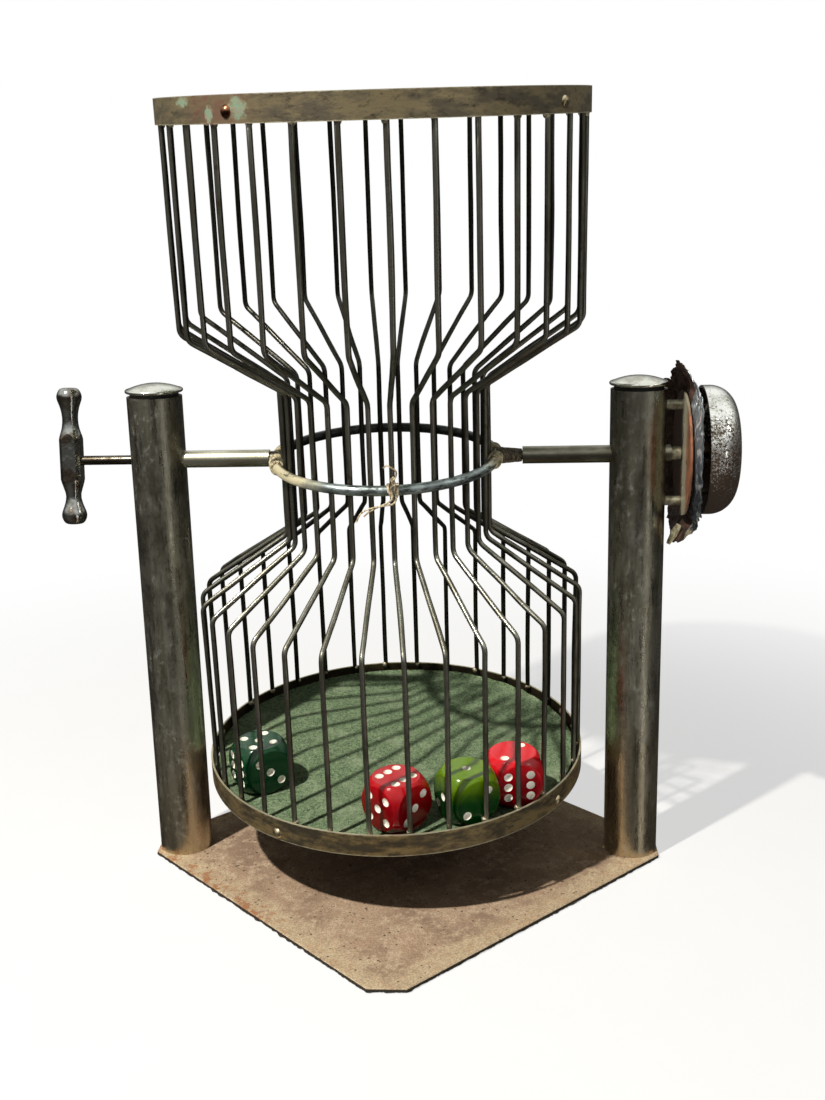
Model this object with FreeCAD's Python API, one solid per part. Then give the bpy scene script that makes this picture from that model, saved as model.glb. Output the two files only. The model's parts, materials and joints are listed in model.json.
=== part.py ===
"""Turning wire dice cage on a two-post stand, with a handle and a bell.

An hourglass cage of bent wires turns on two stub shafts between two tube posts.
The left shaft carries a T-handle. The right shaft runs through its post and turns a
four-lobed cam inside a gong, where it lifts a pivoted hammer. Four large dice lie on
the felt floor of the lower drum.

Millimetres, +Z up. The origin is the centre of the base's underside. +X runs along
the shafts towards the bell, and -Y is the front. Cage parts are drawn about the
cage's own centre, with its axis on Z, and are then set in place at the rest tilt.
"""

import FreeCAD, Part
import math
import os

from FreeCAD import Vector

# --- Stand ---------------------------------------------------------------------
PAD_THICK = 1.0              # felt pad under the base
PLATE_THICK = 2.0
PLATE_TOP = PAD_THICK + PLATE_THICK
BASE_HALF_DIAGONAL = 170.6   # from the centre to each clipped corner
BASE_CLIP_HALF = 11.5        # half the width of a clipped corner
PAD_INSET = 0.6
PLATE_EDGE_BREAK = 0.5

POST_SPACING = 305.0         # between the post axes
POST_X = POST_SPACING / 2
POST_R = 17.5
POST_WALL = 1.6
POST_BORE_R = POST_R - POST_WALL
POST_TOP = PLATE_TOP + 311.4
AXLE_Z = PLATE_TOP + 270.5

FOOT_PLUG_LENGTH = 14.0
FOOT_SCREW_R = 2.5
FOOT_SCREW_HEAD_R = 4.2
FOOT_SCREW_LENGTH = 12.0

CAP_SKIRT = 9.0
CAP_SKIRT_WALL = 1.5
CAP_NECK_R = 15.4             # the dark groove under the bead
CAP_NECK_HEIGHT = 2.4
CAP_BEAD_R = 18.3
CAP_BEAD_HEIGHT = 2.4
CAP_DOME_RISE = 3.5

# --- Shafts and bearings -------------------------------------------------------
SHAFT_R = 3.0
RUNNING_CLEARANCE = 0.05
BEARING_R = 5.5
BEARING_INNER_X = 80.5       # end of each bearing tube that faces the cage
BELL_BEARING_OUT = 3.0       # how far the right tube stands out of its post

# --- Cage ----------------------------------------------------------------------
CAGE_X = -5.9                # the cage stands a little nearer the handle
CAGE_TILT = 4.7              # degrees at rest, top towards the front
BAR_COUNT = 32
BAR_R = 1.6
BAR_FIRST_ANGLE = 7.7        # degrees from the front
BAR_BEND_R = 7.0
DRUM_R = 123.1               # bar centre lines in the two drums
WAIST_R = 65.0
DRUM_BEND = 86.3             # height of the outer bends from the centre
WAIST_BEND = 48.2
UPPER_END = 218.0
LOWER_END = 213.0
BAR_END_GAP = 1.0            # bars stop this short of each band's outer edge

BAND_HEIGHT = 14.3
BAND_THICK = 1.2
BAND_BORE_R = DRUM_R + BAR_R + 0.05
BOTTOM_FELT_RECESS = 5.0     # from the band's inner edge to the felt
TOP_FELT_RECESS = 2.8
FELT_THICK = 1.2
DISC_R = DRUM_R - BAR_R - 0.1
FELT_R = DISC_R - 0.2

BAND_SCREW_COUNT = 4
BAND_SCREW_GAP = 4.5         # bar gaps from the first bar to a screw
BAND_SCREW_R = 1.5
BAND_SCREW_LENGTH = 14.0
BAND_SCREW_HEAD_R = 3.4
BAND_SCREW_HEAD_HEIGHT = 2.1
BAND_SCREW_MARGIN = 0.5      # wood left between a top screw's shank and the felt

RING_WIRE_R = 3.15
RING_R = WAIST_R + BAR_R + 0.07 + RING_WIRE_R
RING_TILT = 1.8              # degrees against the cage, front low
SHAFT_FLANGE_R = 4.5
LEFT_FLANGE_LENGTH = 4.2
RIGHT_FLANGE_LENGTH = 6.0
BRAZE_GAP = 0.02

BINDING_WIRE_R = 0.6
BINDING_TURNS = 4
BINDING_PITCH = 1.3
BINDING_START = 6.4          # first turn, measured along the ring from the shaft
TIE_OFFSET = 2.45            # each side of the front bar

# --- Handle --------------------------------------------------------------------
HANDLE_X = -209.4
HANDLE_LEAN = -7.3           # degrees about the shaft, top towards the back
HANDLE_BLOCK = 13.2
HANDLE_BLOCK_HALF = 11.0
HANDLE_BLOCK_BEVEL = 2.4
HANDLE_RISE = 0.9            # the block's centre above the shaft
HANDLE_UPPER_END = 45.8      # from the block's centre to each end
HANDLE_LOWER_END = 42.1
HANDLE_BALL_FROM_END = 5.3   # the widest place of each ball end
HANDLE_BALL_R = 7.9
HANDLE_NECK_FROM_END = 20.0
HANDLE_NECK_R = 5.0
HANDLE_BORE_DEPTH = 10.5
GRUB_R = 2.0

# --- Bell, distances measured outwards from the right post's axis --------------
DISC_BACK = 27.0
BELL_DISC_THICK = 1.6
BELL_DISC_R = 39.0
GUARD_THICK = 0.8
GUARD_BACK = 30.0
GUARD_FLAT_HALF = 42.0       # above and below this the sheet leans to the post
GUARD_TIP = 58.0
GUARD_TIP_BACK = 21.4
GUARD_OUTLINE = [            # torn by hand: (towards the back, up) from the axle
    (0, 58),
    (40.5, 41),
    (40.5, -42),
    (8, -58),
    (-4, -58),
    (-34, -46),
    (-44, -32),
    (-44, 30),
    (-34, 45),
]
GUARD_FOLD_AT = 40.5         # the back edge is folded round the disc to the post
GUARD_FOLD_TOP = 41.0
GUARD_FOLD_END = 52.0
GUARD_FOLD_BACK = 15.0
BELL_SCREW_AT = 30.5         # above and below the axle
BELL_SCREW_R = 1.75
BELL_SCREW_HEAD_R = 3.2
BELL_SCREW_HEAD_HEIGHT = 2.0
SPACER_R = 3.0
BRIDGE_THICK = 2.0
BRIDGE_HALF_WIDTH = 5.0
BRIDGE_LEG_AT = 25.0
BRIDGE_FOOT_END = 35.0
BRIDGE_TOP = 53.0
GONG_R = 40.3
GONG_RISE = 1.8              # the gong's centre above the axle
GONG_RIM = 39.0
GONG_FACE = 59.6
GONG_WALL = 1.6
GONG_SHOULDER_R = 16.0
STUD_R = 2.0
STUD_COLLAR_R = 4.0
GONG_NUT_R = 4.6
GONG_NUT_HEIGHT = 3.2
COLLAR_R = 4.0
COLLAR_GAP = 0.4
CAM_BACK = 39.5
CAM_THICK = 4.0
CAM_POINT_R = 9.6            # sharp lobes, before their tips are turned down
CAM_TIP_R = 9.0
CAM_ROOT_R = 5.6
CAM_LOBES = 4
SHAFT_BELL_END = 45.0

# --- Hammer, in the plane of the gong: y towards the back, z up -----------------
HAMMER_PIVOT = (-22.0, -2.0)
HAMMER_HEAD_AT = (-28.3, 20.1)
HAMMER_TAIL_AT = (-9.3, -5.9)
HAMMER_BACK = 40.5
HAMMER_THICK = 2.0
HAMMER_ARM_HALF = 1.8
HAMMER_HEAD_R = 3.5
HAMMER_HEAD_LENGTH = 3.8
PIVOT_R = 1.5
PIVOT_BOSS_R = 3.4
PIVOT_HEAD_R = 2.8
SPRING_WIRE_R = 0.4
SPRING_R = 2.6
SPRING_BACK = 34.5
SPRING_LENGTH = 4.2
SPRING_TURNS = 3.0
SPRING_LEG = 8.0

# --- Dice ------------------------------------------------------------------------
DIE_SIZE = 31.75
DIE_HALF = DIE_SIZE / 2
DIE_BALL_R = 21.4            # the cube is rounded by this ball
DIE_EDGE_R = 1.2             # worn edge between each face and the ball
PIP_BALL_R = 3.4
PIP_MOUTH_R = 2.7
PIP_STEP = 7.1
DIE_FLOAT = 0.02             # resting gap above the felt

X_AXIS = Vector(1, 0, 0)
Y_AXIS = Vector(0, 1, 0)
Z_AXIS = Vector(0, 0, 1)
ORIGIN = Vector(0, 0, 0)
AXLE = Vector(0, 0, AXLE_Z)


# --- Helpers -------------------------------------------------------------------
def cylinder(radius, start, end, axis=Z_AXIS, through=ORIGIN):
    """A cylinder along an axis, from start to end as distances from a point."""
    return Part.makeCylinder(radius, end - start, through + axis * start, axis)


def tube(outer, inner, start, end, axis=Z_AXIS, through=ORIGIN):
    body = cylinder(outer, start, end, axis, through)
    return body.cut(cylinder(inner, start, end, axis, through))


def polygon_face(points):
    return Part.Face(Part.makePolygon(list(points) + [points[0]]))


def moved(shape, offset):
    copy = shape.copy()
    copy.translate(offset)
    return copy


def turned(shape, degrees, axis=Z_AXIS, through=ORIGIN):
    copy = shape.copy()
    copy.rotate(through, axis, degrees)
    return copy


def around(shape, count, first=0.0, axis=Z_AXIS):
    """Copies of a shape spaced evenly round an axis, the first one turned by first."""
    return [turned(shape, first + k * 360.0 / count, axis) for k in range(count)]


def in_bell(shape):
    """Set a shape drawn about the axle, with x from the right post's axis."""
    return moved(shape, Vector(POST_X, 0, AXLE_Z))


def in_gong(shape):
    """Set a shape drawn about the gong's own axis, which stands above the axle."""
    return in_bell(moved(shape, Z_AXIS * GONG_RISE))


def in_cage(shape):
    """Set a shape drawn about the cage's own centre at its rest tilt."""
    tilted = turned(shape, CAGE_TILT, X_AXIS)
    return moved(tilted, Vector(CAGE_X, 0, AXLE_Z))


def on_ring(radius, degrees, height=0.0):
    """A point at an angle from the front, positive towards the bell."""
    angle = math.radians(degrees)
    return Vector(radius * math.sin(angle), -radius * math.cos(angle), height)


# --- Stand ---------------------------------------------------------------------
def clipped_square(half_diagonal, clip_half, bottom, thickness):
    """A square standing on its corners, each corner clipped off."""
    corners = []
    for k in range(4):
        for side in (-clip_half, clip_half):
            corner = Vector(half_diagonal, side, bottom)
            corners.append(turned(Part.Vertex(corner), 90 * k).Point)
    return polygon_face(corners).extrude(Z_AXIS * thickness)


def base_pad():
    half = BASE_HALF_DIAGONAL - PAD_INSET
    return clipped_square(half, BASE_CLIP_HALF, 0, PAD_THICK)


def base_plate():
    plate = clipped_square(BASE_HALF_DIAGONAL, BASE_CLIP_HALF, PAD_THICK, PLATE_THICK)
    top_edges = [e for e in plate.Edges if e.BoundBox.ZMin > PLATE_TOP - 0.01]
    plate = plate.makeChamfer(PLATE_EDGE_BREAK, top_edges)
    for side in (-1, 1):
        plate = plate.cut(foot_screw(side))
    return plate


def foot_screw(side):
    """Countersunk screw up through the base into a post's plug."""
    x = side * POST_X
    rise = FOOT_SCREW_HEAD_R - FOOT_SCREW_R
    head = Part.makeCone(FOOT_SCREW_HEAD_R, FOOT_SCREW_R, rise, Vector(x, 0, PAD_THICK))
    shank_top = PAD_THICK + FOOT_SCREW_LENGTH
    shank = cylinder(FOOT_SCREW_R, PAD_THICK, shank_top, through=Vector(x, 0, 0))
    return head.fuse(shank).removeSplitter()


def foot_plug(side):
    centre = Vector(side * POST_X, 0, PLATE_TOP)
    plug = cylinder(POST_BORE_R, 0, FOOT_PLUG_LENGTH, through=centre)
    return plug.cut(foot_screw(side))


def post(side):
    foot = Vector(side * POST_X, 0, 0)
    body = tube(POST_R, POST_BORE_R, PLATE_TOP, POST_TOP, through=foot)
    body = body.cut(bearing_outline(side)).cut(shaft_hole())
    if side > 0:
        for height in (-BELL_SCREW_AT, BELL_SCREW_AT):
            at = Vector(POST_X, 0, AXLE_Z + height)
            body = body.cut(cylinder(BELL_SCREW_R, 0, POST_R + 1, X_AXIS, at))
    return body


def post_cap(side):
    """Pressed cap: a skirt in the tube, a neck, a beaded rim and a low dome."""
    inner = POST_BORE_R - CAP_SKIRT_WALL
    neck_top = CAP_NECK_HEIGHT
    bead_top = neck_top + CAP_BEAD_HEIGHT
    bead_r = CAP_BEAD_HEIGHT / 2
    skirt = tube(POST_BORE_R, inner, -CAP_SKIRT, 0)
    neck = cylinder(CAP_NECK_R, 0, neck_top)
    rim_r = CAP_BEAD_R - bead_r
    plate = cylinder(rim_r, neck_top, bead_top)
    bead = Part.makeTorus(rim_r, bead_r, Vector(0, 0, neck_top + bead_r))
    dome_base_r = rim_r - 0.3
    ball_r = (dome_base_r ** 2 + CAP_DOME_RISE ** 2) / (2 * CAP_DOME_RISE)
    ball = Part.makeSphere(ball_r, Vector(0, 0, bead_top + CAP_DOME_RISE - ball_r))
    dome = ball.common(cylinder(rim_r, bead_top - 0.3, bead_top + CAP_DOME_RISE))
    cap = skirt.multiFuse([neck, plate, bead, dome]).removeSplitter()
    return moved(cap, Vector(side * POST_X, 0, POST_TOP))


# --- Bearings --------------------------------------------------------------------
def bearing_span(side):
    """Where a bearing tube starts and ends, as x in the stand."""
    if side < 0:
        return -POST_X - POST_BORE_R, -BEARING_INNER_X
    return BEARING_INNER_X, POST_X + POST_R + BELL_BEARING_OUT


def past_left_bore():
    """What lies beyond the inside of the left post's outer wall, along the bearing."""
    bore = cylinder(POST_BORE_R, PLATE_TOP, POST_TOP, through=Vector(-POST_X, 0, 0))
    reach = cylinder(BEARING_R, -POST_X - POST_R, -POST_X, X_AXIS, AXLE)
    return reach.cut(bore)


def bearing_outline(side):
    """The solid outside of a bearing tube; the left one stops inside its post."""
    start, end = bearing_span(side)
    outline = cylinder(BEARING_R, start, end, X_AXIS, AXLE)
    if side < 0:
        outline = outline.cut(past_left_bore())
    return outline


def shaft_hole():
    """The running hole for both shafts, from post to post."""
    hole_r = SHAFT_R + RUNNING_CLEARANCE
    return cylinder(hole_r, -POST_X - 2 * POST_R, POST_X + 2 * POST_R, X_AXIS, AXLE)


def bearing_tube(side):
    return bearing_outline(side).cut(shaft_hole())


# --- Cage --------------------------------------------------------------------------
def bend(before, corner, after, radius):
    """Arc that rounds a corner: its start, middle and end."""
    arriving = (corner - before).normalize()
    leaving = (after - corner).normalize()
    half_turn = arriving.getAngle(leaving) / 2
    reach = radius * math.tan(half_turn)
    inward = (leaving - arriving).normalize()
    middle = corner + inward * (radius / math.cos(half_turn) - radius)
    return corner - arriving * reach, middle, corner + leaving * reach


def bar_path():
    corners = [
        Vector(DRUM_R, 0, BAR_END_GAP - LOWER_END),
        Vector(DRUM_R, 0, -DRUM_BEND),
        Vector(WAIST_R, 0, -WAIST_BEND),
        Vector(WAIST_R, 0, WAIST_BEND),
        Vector(DRUM_R, 0, DRUM_BEND),
        Vector(DRUM_R, 0, UPPER_END - BAR_END_GAP),
    ]
    edges = []
    last = corners[0]
    for k in range(1, len(corners) - 1):
        start, middle, end = bend(corners[k - 1], corners[k], corners[k + 1], BAR_BEND_R)
        edges.append(Part.makeLine(last, start))
        edges.append(Part.Arc(start, middle, end).toShape())
        last = end
    edges.append(Part.makeLine(last, corners[-1]))
    return Part.Wire(edges)


def cage_bars():
    path = bar_path()
    foot = path.Edges[0].Vertexes[0].Point
    section = Part.Wire(Part.makeCircle(BAR_R, foot, Z_AXIS))
    bar = path.makePipeShell([section], True, False)
    # The path is drawn on +X, which is 90 degrees round from the front.
    bars = around(bar, BAR_COUNT, BAR_FIRST_ANGLE - 90)
    return in_cage(Part.makeCompound(bars))


def band_span(end):
    """Lowest and highest level of a band; end is +1 for the top and -1 for the bottom."""
    if end > 0:
        return UPPER_END - BAND_HEIGHT, UPPER_END
    return -LOWER_END, BAND_HEIGHT - LOWER_END


def disc_span(end):
    """Lowest and highest level of a disc, flush with its band's outer edge."""
    low, high = band_span(end)
    if end > 0:
        return low + TOP_FELT_RECESS + FELT_THICK, high
    return low, high - BOTTOM_FELT_RECESS - FELT_THICK


def felt_span(end):
    low, high = disc_span(end)
    if end > 0:
        return low - FELT_THICK, low
    return high, high + FELT_THICK


def band_screws(end):
    """Dome-headed screws that pass between the bars into the disc's edge."""
    disc_low, disc_high = disc_span(end)
    if end > 0:
        level = disc_low + BAND_SCREW_R + BAND_SCREW_MARGIN
    else:
        level = (disc_low + disc_high) / 2
    face = BAND_BORE_R + BAND_THICK
    rise, spread = BAND_SCREW_HEAD_HEIGHT, BAND_SCREW_HEAD_R
    ball_r = (spread ** 2 + rise ** 2) / (2 * rise)
    ball = Part.makeSphere(ball_r, Vector(face + rise - ball_r, 0, 0))
    head = ball.common(cylinder(spread + 1, face, face + rise + 1, X_AXIS))
    shank = cylinder(BAND_SCREW_R, face - BAND_SCREW_LENGTH, face + rise / 2, X_AXIS)
    screw = moved(shank.fuse(head).removeSplitter(), Vector(0, 0, level))
    # The screw is drawn on +X, which is 90 degrees round from the front.
    first = BAR_FIRST_ANGLE + BAND_SCREW_GAP * 360.0 / BAR_COUNT - 90
    return around(screw, BAND_SCREW_COUNT, first)


def band_cage_cut(shape, end):
    """Cut the screw holes, and the curved seat under each screw head."""
    for hole in band_screws(end):
        shape = shape.cut(hole)
    return shape


def band(end):
    low, high = band_span(end)
    hoop = tube(BAND_BORE_R + BAND_THICK, BAND_BORE_R, low, high)
    return in_cage(band_cage_cut(hoop, end))


def end_disc(end):
    low, high = disc_span(end)
    return in_cage(band_cage_cut(cylinder(DISC_R, low, high), end))


def end_felt(end):
    low, high = felt_span(end)
    return in_cage(cylinder(FELT_R, low, high))


def in_ring(shape):
    """Set a shape drawn about the ring's own centre, which leans in the cage."""
    return in_cage(turned(shape, RING_TILT, X_AXIS))


def waist_ring():
    return in_ring(Part.makeTorus(RING_R, RING_WIRE_R))


def ring_seat():
    """Room for the ring wire in the end of a shaft."""
    seat = Part.makeTorus(RING_R, RING_WIRE_R + BRAZE_GAP)
    return in_ring(seat)


def left_shaft():
    ring_x = CAGE_X - RING_R
    flange_end = ring_x - LEFT_FLANGE_LENGTH
    shaft_end = HANDLE_X + HANDLE_BLOCK / 2 - HANDLE_BORE_DEPTH
    flange = cylinder(SHAFT_FLANGE_R, flange_end, ring_x, X_AXIS, AXLE)
    shank = cylinder(SHAFT_R, shaft_end, flange_end, X_AXIS, AXLE)
    return flange.fuse(shank).cut(ring_seat())


def right_shaft():
    ring_x = CAGE_X + RING_R
    flange_end = ring_x + RIGHT_FLANGE_LENGTH
    flange = Part.makeCone(
        SHAFT_FLANGE_R, SHAFT_R, RIGHT_FLANGE_LENGTH, Vector(ring_x, 0, AXLE_Z), X_AXIS
    )
    shank = cylinder(SHAFT_R, flange_end, POST_X + SHAFT_BELL_END, X_AXIS, AXLE)
    return flange.fuse(shank).cut(ring_seat())


def wire_loop(degrees):
    """One turn of thin wire round the waist ring."""
    angle = math.radians(degrees)
    along = Vector(math.cos(angle), math.sin(angle), 0)
    loop_r = RING_WIRE_R + BRAZE_GAP + BINDING_WIRE_R
    return Part.makeTorus(loop_r, BINDING_WIRE_R, on_ring(RING_R, degrees), along)


def ring_bindings():
    """Wire turns on the ring, on both sides of both shafts, clear of the bars."""
    loops = []
    for shaft_angle in (-90, 90):
        for side in (-1, 1):
            for k in range(BINDING_TURNS):
                arc = BINDING_START + k * BINDING_PITCH
                degrees = shaft_angle + side * math.degrees(arc / RING_R)
                loops.append(wire_loop(degrees))
    return in_ring(Part.makeCompound(clear_of_bars(loops)))


def clear_of_bars(loops):
    """Drop the turns that would pass through a bar."""
    gap = 360.0 / BAR_COUNT
    reach = math.degrees((BAR_R + BINDING_WIRE_R + 0.1) / WAIST_R)
    kept = []
    for loop in loops:
        centre = loop.BoundBox.Center
        angle = math.degrees(math.atan2(centre.x, -centre.y))
        nearest = (angle - BAR_FIRST_ANGLE) % gap
        if min(nearest, gap - nearest) > reach:
            kept.append(loop)
    return kept


def ring_tie_wire():
    offset = math.degrees(TIE_OFFSET / RING_R)
    loops = [wire_loop(BAR_FIRST_ANGLE + side * offset) for side in (-1, 1)]
    return in_ring(Part.makeCompound(loops))


# --- Handle ------------------------------------------------------------------------
def grip(end):
    """One grip of the T-handle, drawn upwards: flare, neck, ball end."""
    flare_r = HANDLE_BLOCK * 0.68
    stations = [
        Vector(flare_r, 0, HANDLE_BLOCK_HALF),
        Vector(HANDLE_NECK_R + 2.1, 0, HANDLE_BLOCK_HALF + 4.0),
        Vector(HANDLE_NECK_R + 0.7, 0, HANDLE_BLOCK_HALF + 8.5),
        Vector(HANDLE_NECK_R, 0, end - HANDLE_NECK_FROM_END),
        Vector(HANDLE_NECK_R + 1.7, 0, end - 2 * HANDLE_BALL_FROM_END),
        Vector(HANDLE_BALL_R, 0, end - HANDLE_BALL_FROM_END),
        Vector(HANDLE_BALL_R * 0.84, 0, end - 1.9),
        Vector(0, 0, end),
    ]
    curve = Part.BSplineCurve()
    curve.interpolate(Points=stations, InitialTangent=Vector(-1, 0, 1.2),
                      FinalTangent=Vector(-1, 0, 0))
    side = curve.toShape()
    axis_line = Part.makeLine(stations[-1], ORIGIN)
    floor = Part.makeLine(ORIGIN, Vector(flare_r, 0, 0))
    wall = Part.makeLine(Vector(flare_r, 0, 0), stations[0])
    turning = Part.Face(Part.Wire([side, axis_line, floor, wall])).revolve(ORIGIN, Z_AXIS, 360)
    # The grip is turned from the block's own bar, so the flare keeps its flats.
    neck = end - HANDLE_NECK_FROM_END
    bar = handle_bar(0, neck).fuse(cylinder(HANDLE_BALL_R + 1, neck, end))
    return turning.common(bar)


def handle_bar(bottom, top):
    """The square bar with bevelled corners that the handle is made from."""
    half = HANDLE_BLOCK / 2
    bar = Part.makeBox(HANDLE_BLOCK, HANDLE_BLOCK, top - bottom, Vector(-half, -half, bottom))
    long_edges = [e for e in bar.Edges if e.BoundBox.ZLength > top - bottom - 0.01]
    return bar.makeChamfer(HANDLE_BLOCK_BEVEL, long_edges)


def in_handle(shape):
    """Set a shape drawn about the shaft at the handle's resting lean."""
    leaning = turned(shape, HANDLE_LEAN, X_AXIS)
    return moved(leaning, Vector(HANDLE_X, 0, AXLE_Z))


def t_handle():
    half = HANDLE_BLOCK / 2
    block = handle_bar(-HANDLE_BLOCK_HALF, HANDLE_BLOCK_HALF)
    upper = grip(HANDLE_UPPER_END)
    lower = turned(grip(HANDLE_LOWER_END), 180, X_AXIS)
    body = block.multiFuse([upper, lower]).removeSplitter()
    body.translate(Z_AXIS * HANDLE_RISE)
    body = body.cut(cylinder(SHAFT_R, half - HANDLE_BORE_DEPTH, half + 1, X_AXIS))
    body = body.cut(cylinder(GRUB_R, SHAFT_R, half + 1, Y_AXIS))
    return in_handle(body)


def handle_grub_screw():
    screw = cylinder(GRUB_R, SHAFT_R, HANDLE_BLOCK / 2 - 0.4, Y_AXIS)
    slot = Part.makeBox(2 * GRUB_R, 1.0, 0.7, Vector(-GRUB_R, HANDLE_BLOCK / 2 - 1.3, -0.35))
    screw = screw.cut(slot)
    # The tip is hollowed to the shaft, so the two touch without overlapping.
    return in_handle(screw.cut(cylinder(SHAFT_R, -HANDLE_BLOCK, HANDLE_BLOCK, X_AXIS)))


# --- Bell --------------------------------------------------------------------------
def bell_screw(height):
    """Screw through the bridge, guard, disc and spacer into the post's wall."""
    seat = GUARD_BACK + GUARD_THICK + BRIDGE_THICK
    at = Vector(0, 0, height)
    shank = cylinder(BELL_SCREW_R, POST_BORE_R, seat, X_AXIS, at)
    head = cylinder(BELL_SCREW_HEAD_R, seat, seat + BELL_SCREW_HEAD_HEIGHT, X_AXIS, at)
    crown = [e for e in head.Edges if e.BoundBox.XMin > seat + BELL_SCREW_HEAD_HEIGHT - 0.01]
    head = head.makeFillet(0.9, crown)
    slot_low = Vector(seat + 1.2, -BELL_SCREW_HEAD_R, height - 0.4)
    slot = Part.makeBox(1.0, 2 * BELL_SCREW_HEAD_R, 0.8, slot_low)
    return shank.fuse(head).cut(slot)


def bell_screws():
    screws = [bell_screw(-BELL_SCREW_AT), bell_screw(BELL_SCREW_AT)]
    return in_bell(Part.makeCompound(screws))


def bell_spacers():
    """Two sleeves, each hollowed at one end to sit on the round post."""
    spacers = []
    for height in (-BELL_SCREW_AT, BELL_SCREW_AT):
        at = Vector(0, 0, height)
        spacer = tube(SPACER_R, BELL_SCREW_R, POST_R - 2, DISC_BACK, X_AXIS, at)
        spacers.append(spacer.cut(cylinder(POST_R, -GUARD_TIP, GUARD_TIP)))
    return in_bell(Part.makeCompound(spacers))


def with_bell_holes(plate, centre_r):
    """Cut a bell plate for the shaft, both long screws and the hammer's pivot."""
    reach = BRIDGE_TOP
    plate = plate.cut(cylinder(centre_r, 0, reach, X_AXIS))
    for height in (-BELL_SCREW_AT, BELL_SCREW_AT):
        plate = plate.cut(cylinder(BELL_SCREW_R, 0, reach, X_AXIS, Vector(0, 0, height)))
    y, z = HAMMER_PIVOT
    return plate.cut(cylinder(PIVOT_R, 0, reach, X_AXIS, Vector(0, y, z)))


def bell_base_disc():
    disc = cylinder(BELL_DISC_R, DISC_BACK, DISC_BACK + BELL_DISC_THICK, X_AXIS)
    disc = disc.makeFillet(0.6, disc.Edges[:1])
    disc = with_bell_holes(disc, SHAFT_R + 0.5)
    for angle in (25, 155):
        # Two spare holes on the front half, one high and one low.
        spread = math.radians(angle)
        at = Vector(0, -22 * math.sin(spread), 22 * math.cos(spread))
        disc = disc.cut(cylinder(1.4, 0, BRIDGE_TOP, X_AXIS, at))
    return in_bell(disc)


def bell_guard_plate():
    """Thin sheet behind the gong: corners bent to the post, back edge folded round."""
    front = GUARD_BACK + GUARD_THICK
    side_view = [
        Vector(GUARD_TIP_BACK, 0, -GUARD_TIP),
        Vector(GUARD_BACK, 0, -GUARD_FLAT_HALF),
        Vector(GUARD_BACK, 0, GUARD_FLAT_HALF),
        Vector(GUARD_TIP_BACK, 0, GUARD_TIP),
        Vector(GUARD_TIP_BACK + GUARD_THICK, 0, GUARD_TIP),
        Vector(front, 0, GUARD_FLAT_HALF),
        Vector(front, 0, -GUARD_FLAT_HALF),
        Vector(GUARD_TIP_BACK + GUARD_THICK, 0, -GUARD_TIP),
    ]
    strip = polygon_face(side_view).extrude(Y_AXIS * 2 * GUARD_TIP)
    strip.translate(Y_AXIS * -GUARD_TIP)
    end_view = [Vector(0, y, z) for y, z in GUARD_OUTLINE]
    sheet = polygon_face(end_view).extrude(X_AXIS * BRIDGE_TOP)
    plate = with_bell_holes(strip.common(sheet), COLLAR_R + 1)
    return in_bell(plate.fuse(guard_fold()).removeSplitter())


def guard_fold():
    """The back edge of the guard, folded round the disc towards the post."""
    front = GUARD_BACK + GUARD_THICK
    outline = [
        Vector(GUARD_BACK, GUARD_FOLD_AT, -GUARD_FLAT_HALF),
        Vector(front, GUARD_FOLD_AT, -GUARD_FLAT_HALF),
        Vector(GUARD_FOLD_BACK + GUARD_THICK, GUARD_FOLD_END, -GUARD_FLAT_HALF),
        Vector(GUARD_FOLD_BACK, GUARD_FOLD_END, -GUARD_FLAT_HALF),
    ]
    return polygon_face(outline).extrude(Z_AXIS * (GUARD_FLAT_HALF + GUARD_FOLD_TOP))


def bell_bridge():
    """U-strap over the cam, which holds the gong's stud."""
    foot = GUARD_BACK + GUARD_THICK
    half_leg = BRIDGE_THICK / 2
    leg_in = BRIDGE_LEG_AT - half_leg
    leg_out = BRIDGE_LEG_AT + half_leg
    outline = [
        Vector(foot, 0, BRIDGE_FOOT_END),
        Vector(foot, 0, leg_in),
        Vector(BRIDGE_TOP - BRIDGE_THICK, 0, leg_in),
        Vector(BRIDGE_TOP - BRIDGE_THICK, 0, -leg_in),
        Vector(foot, 0, -leg_in),
        Vector(foot, 0, -BRIDGE_FOOT_END),
        Vector(foot + BRIDGE_THICK, 0, -BRIDGE_FOOT_END),
        Vector(foot + BRIDGE_THICK, 0, -leg_out),
        Vector(BRIDGE_TOP, 0, -leg_out),
        Vector(BRIDGE_TOP, 0, leg_out),
        Vector(foot + BRIDGE_THICK, 0, leg_out),
        Vector(foot + BRIDGE_THICK, 0, BRIDGE_FOOT_END),
    ]
    strap = polygon_face(outline).extrude(Y_AXIS * 2 * BRIDGE_HALF_WIDTH)
    strap.translate(Y_AXIS * -BRIDGE_HALF_WIDTH)
    strap = strap.cut(cylinder(STUD_R, 0, GONG_FACE, X_AXIS, Z_AXIS * GONG_RISE))
    for height in (-BELL_SCREW_AT, BELL_SCREW_AT):
        hole = cylinder(BELL_SCREW_R, 0, BRIDGE_TOP, X_AXIS, Vector(0, 0, height))
        strap = strap.cut(hole)
    return in_bell(strap)


def gong():
    """Shallow bowl with a flat face, a round shoulder and an open rim."""
    def bowl(radius, face, shoulder):
        drum = cylinder(radius, GONG_RIM, face, X_AXIS)
        face_edges = [e for e in drum.Edges if e.BoundBox.XMin > face - 0.01]
        return drum.makeFillet(shoulder, face_edges)

    outer = bowl(GONG_R, GONG_FACE, GONG_SHOULDER_R)
    inner = bowl(GONG_R - GONG_WALL, GONG_FACE - GONG_WALL, GONG_SHOULDER_R - GONG_WALL)
    shell = outer.cut(inner).cut(cylinder(STUD_R, 0, GONG_FACE + 1, X_AXIS))
    return in_gong(shell)


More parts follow.
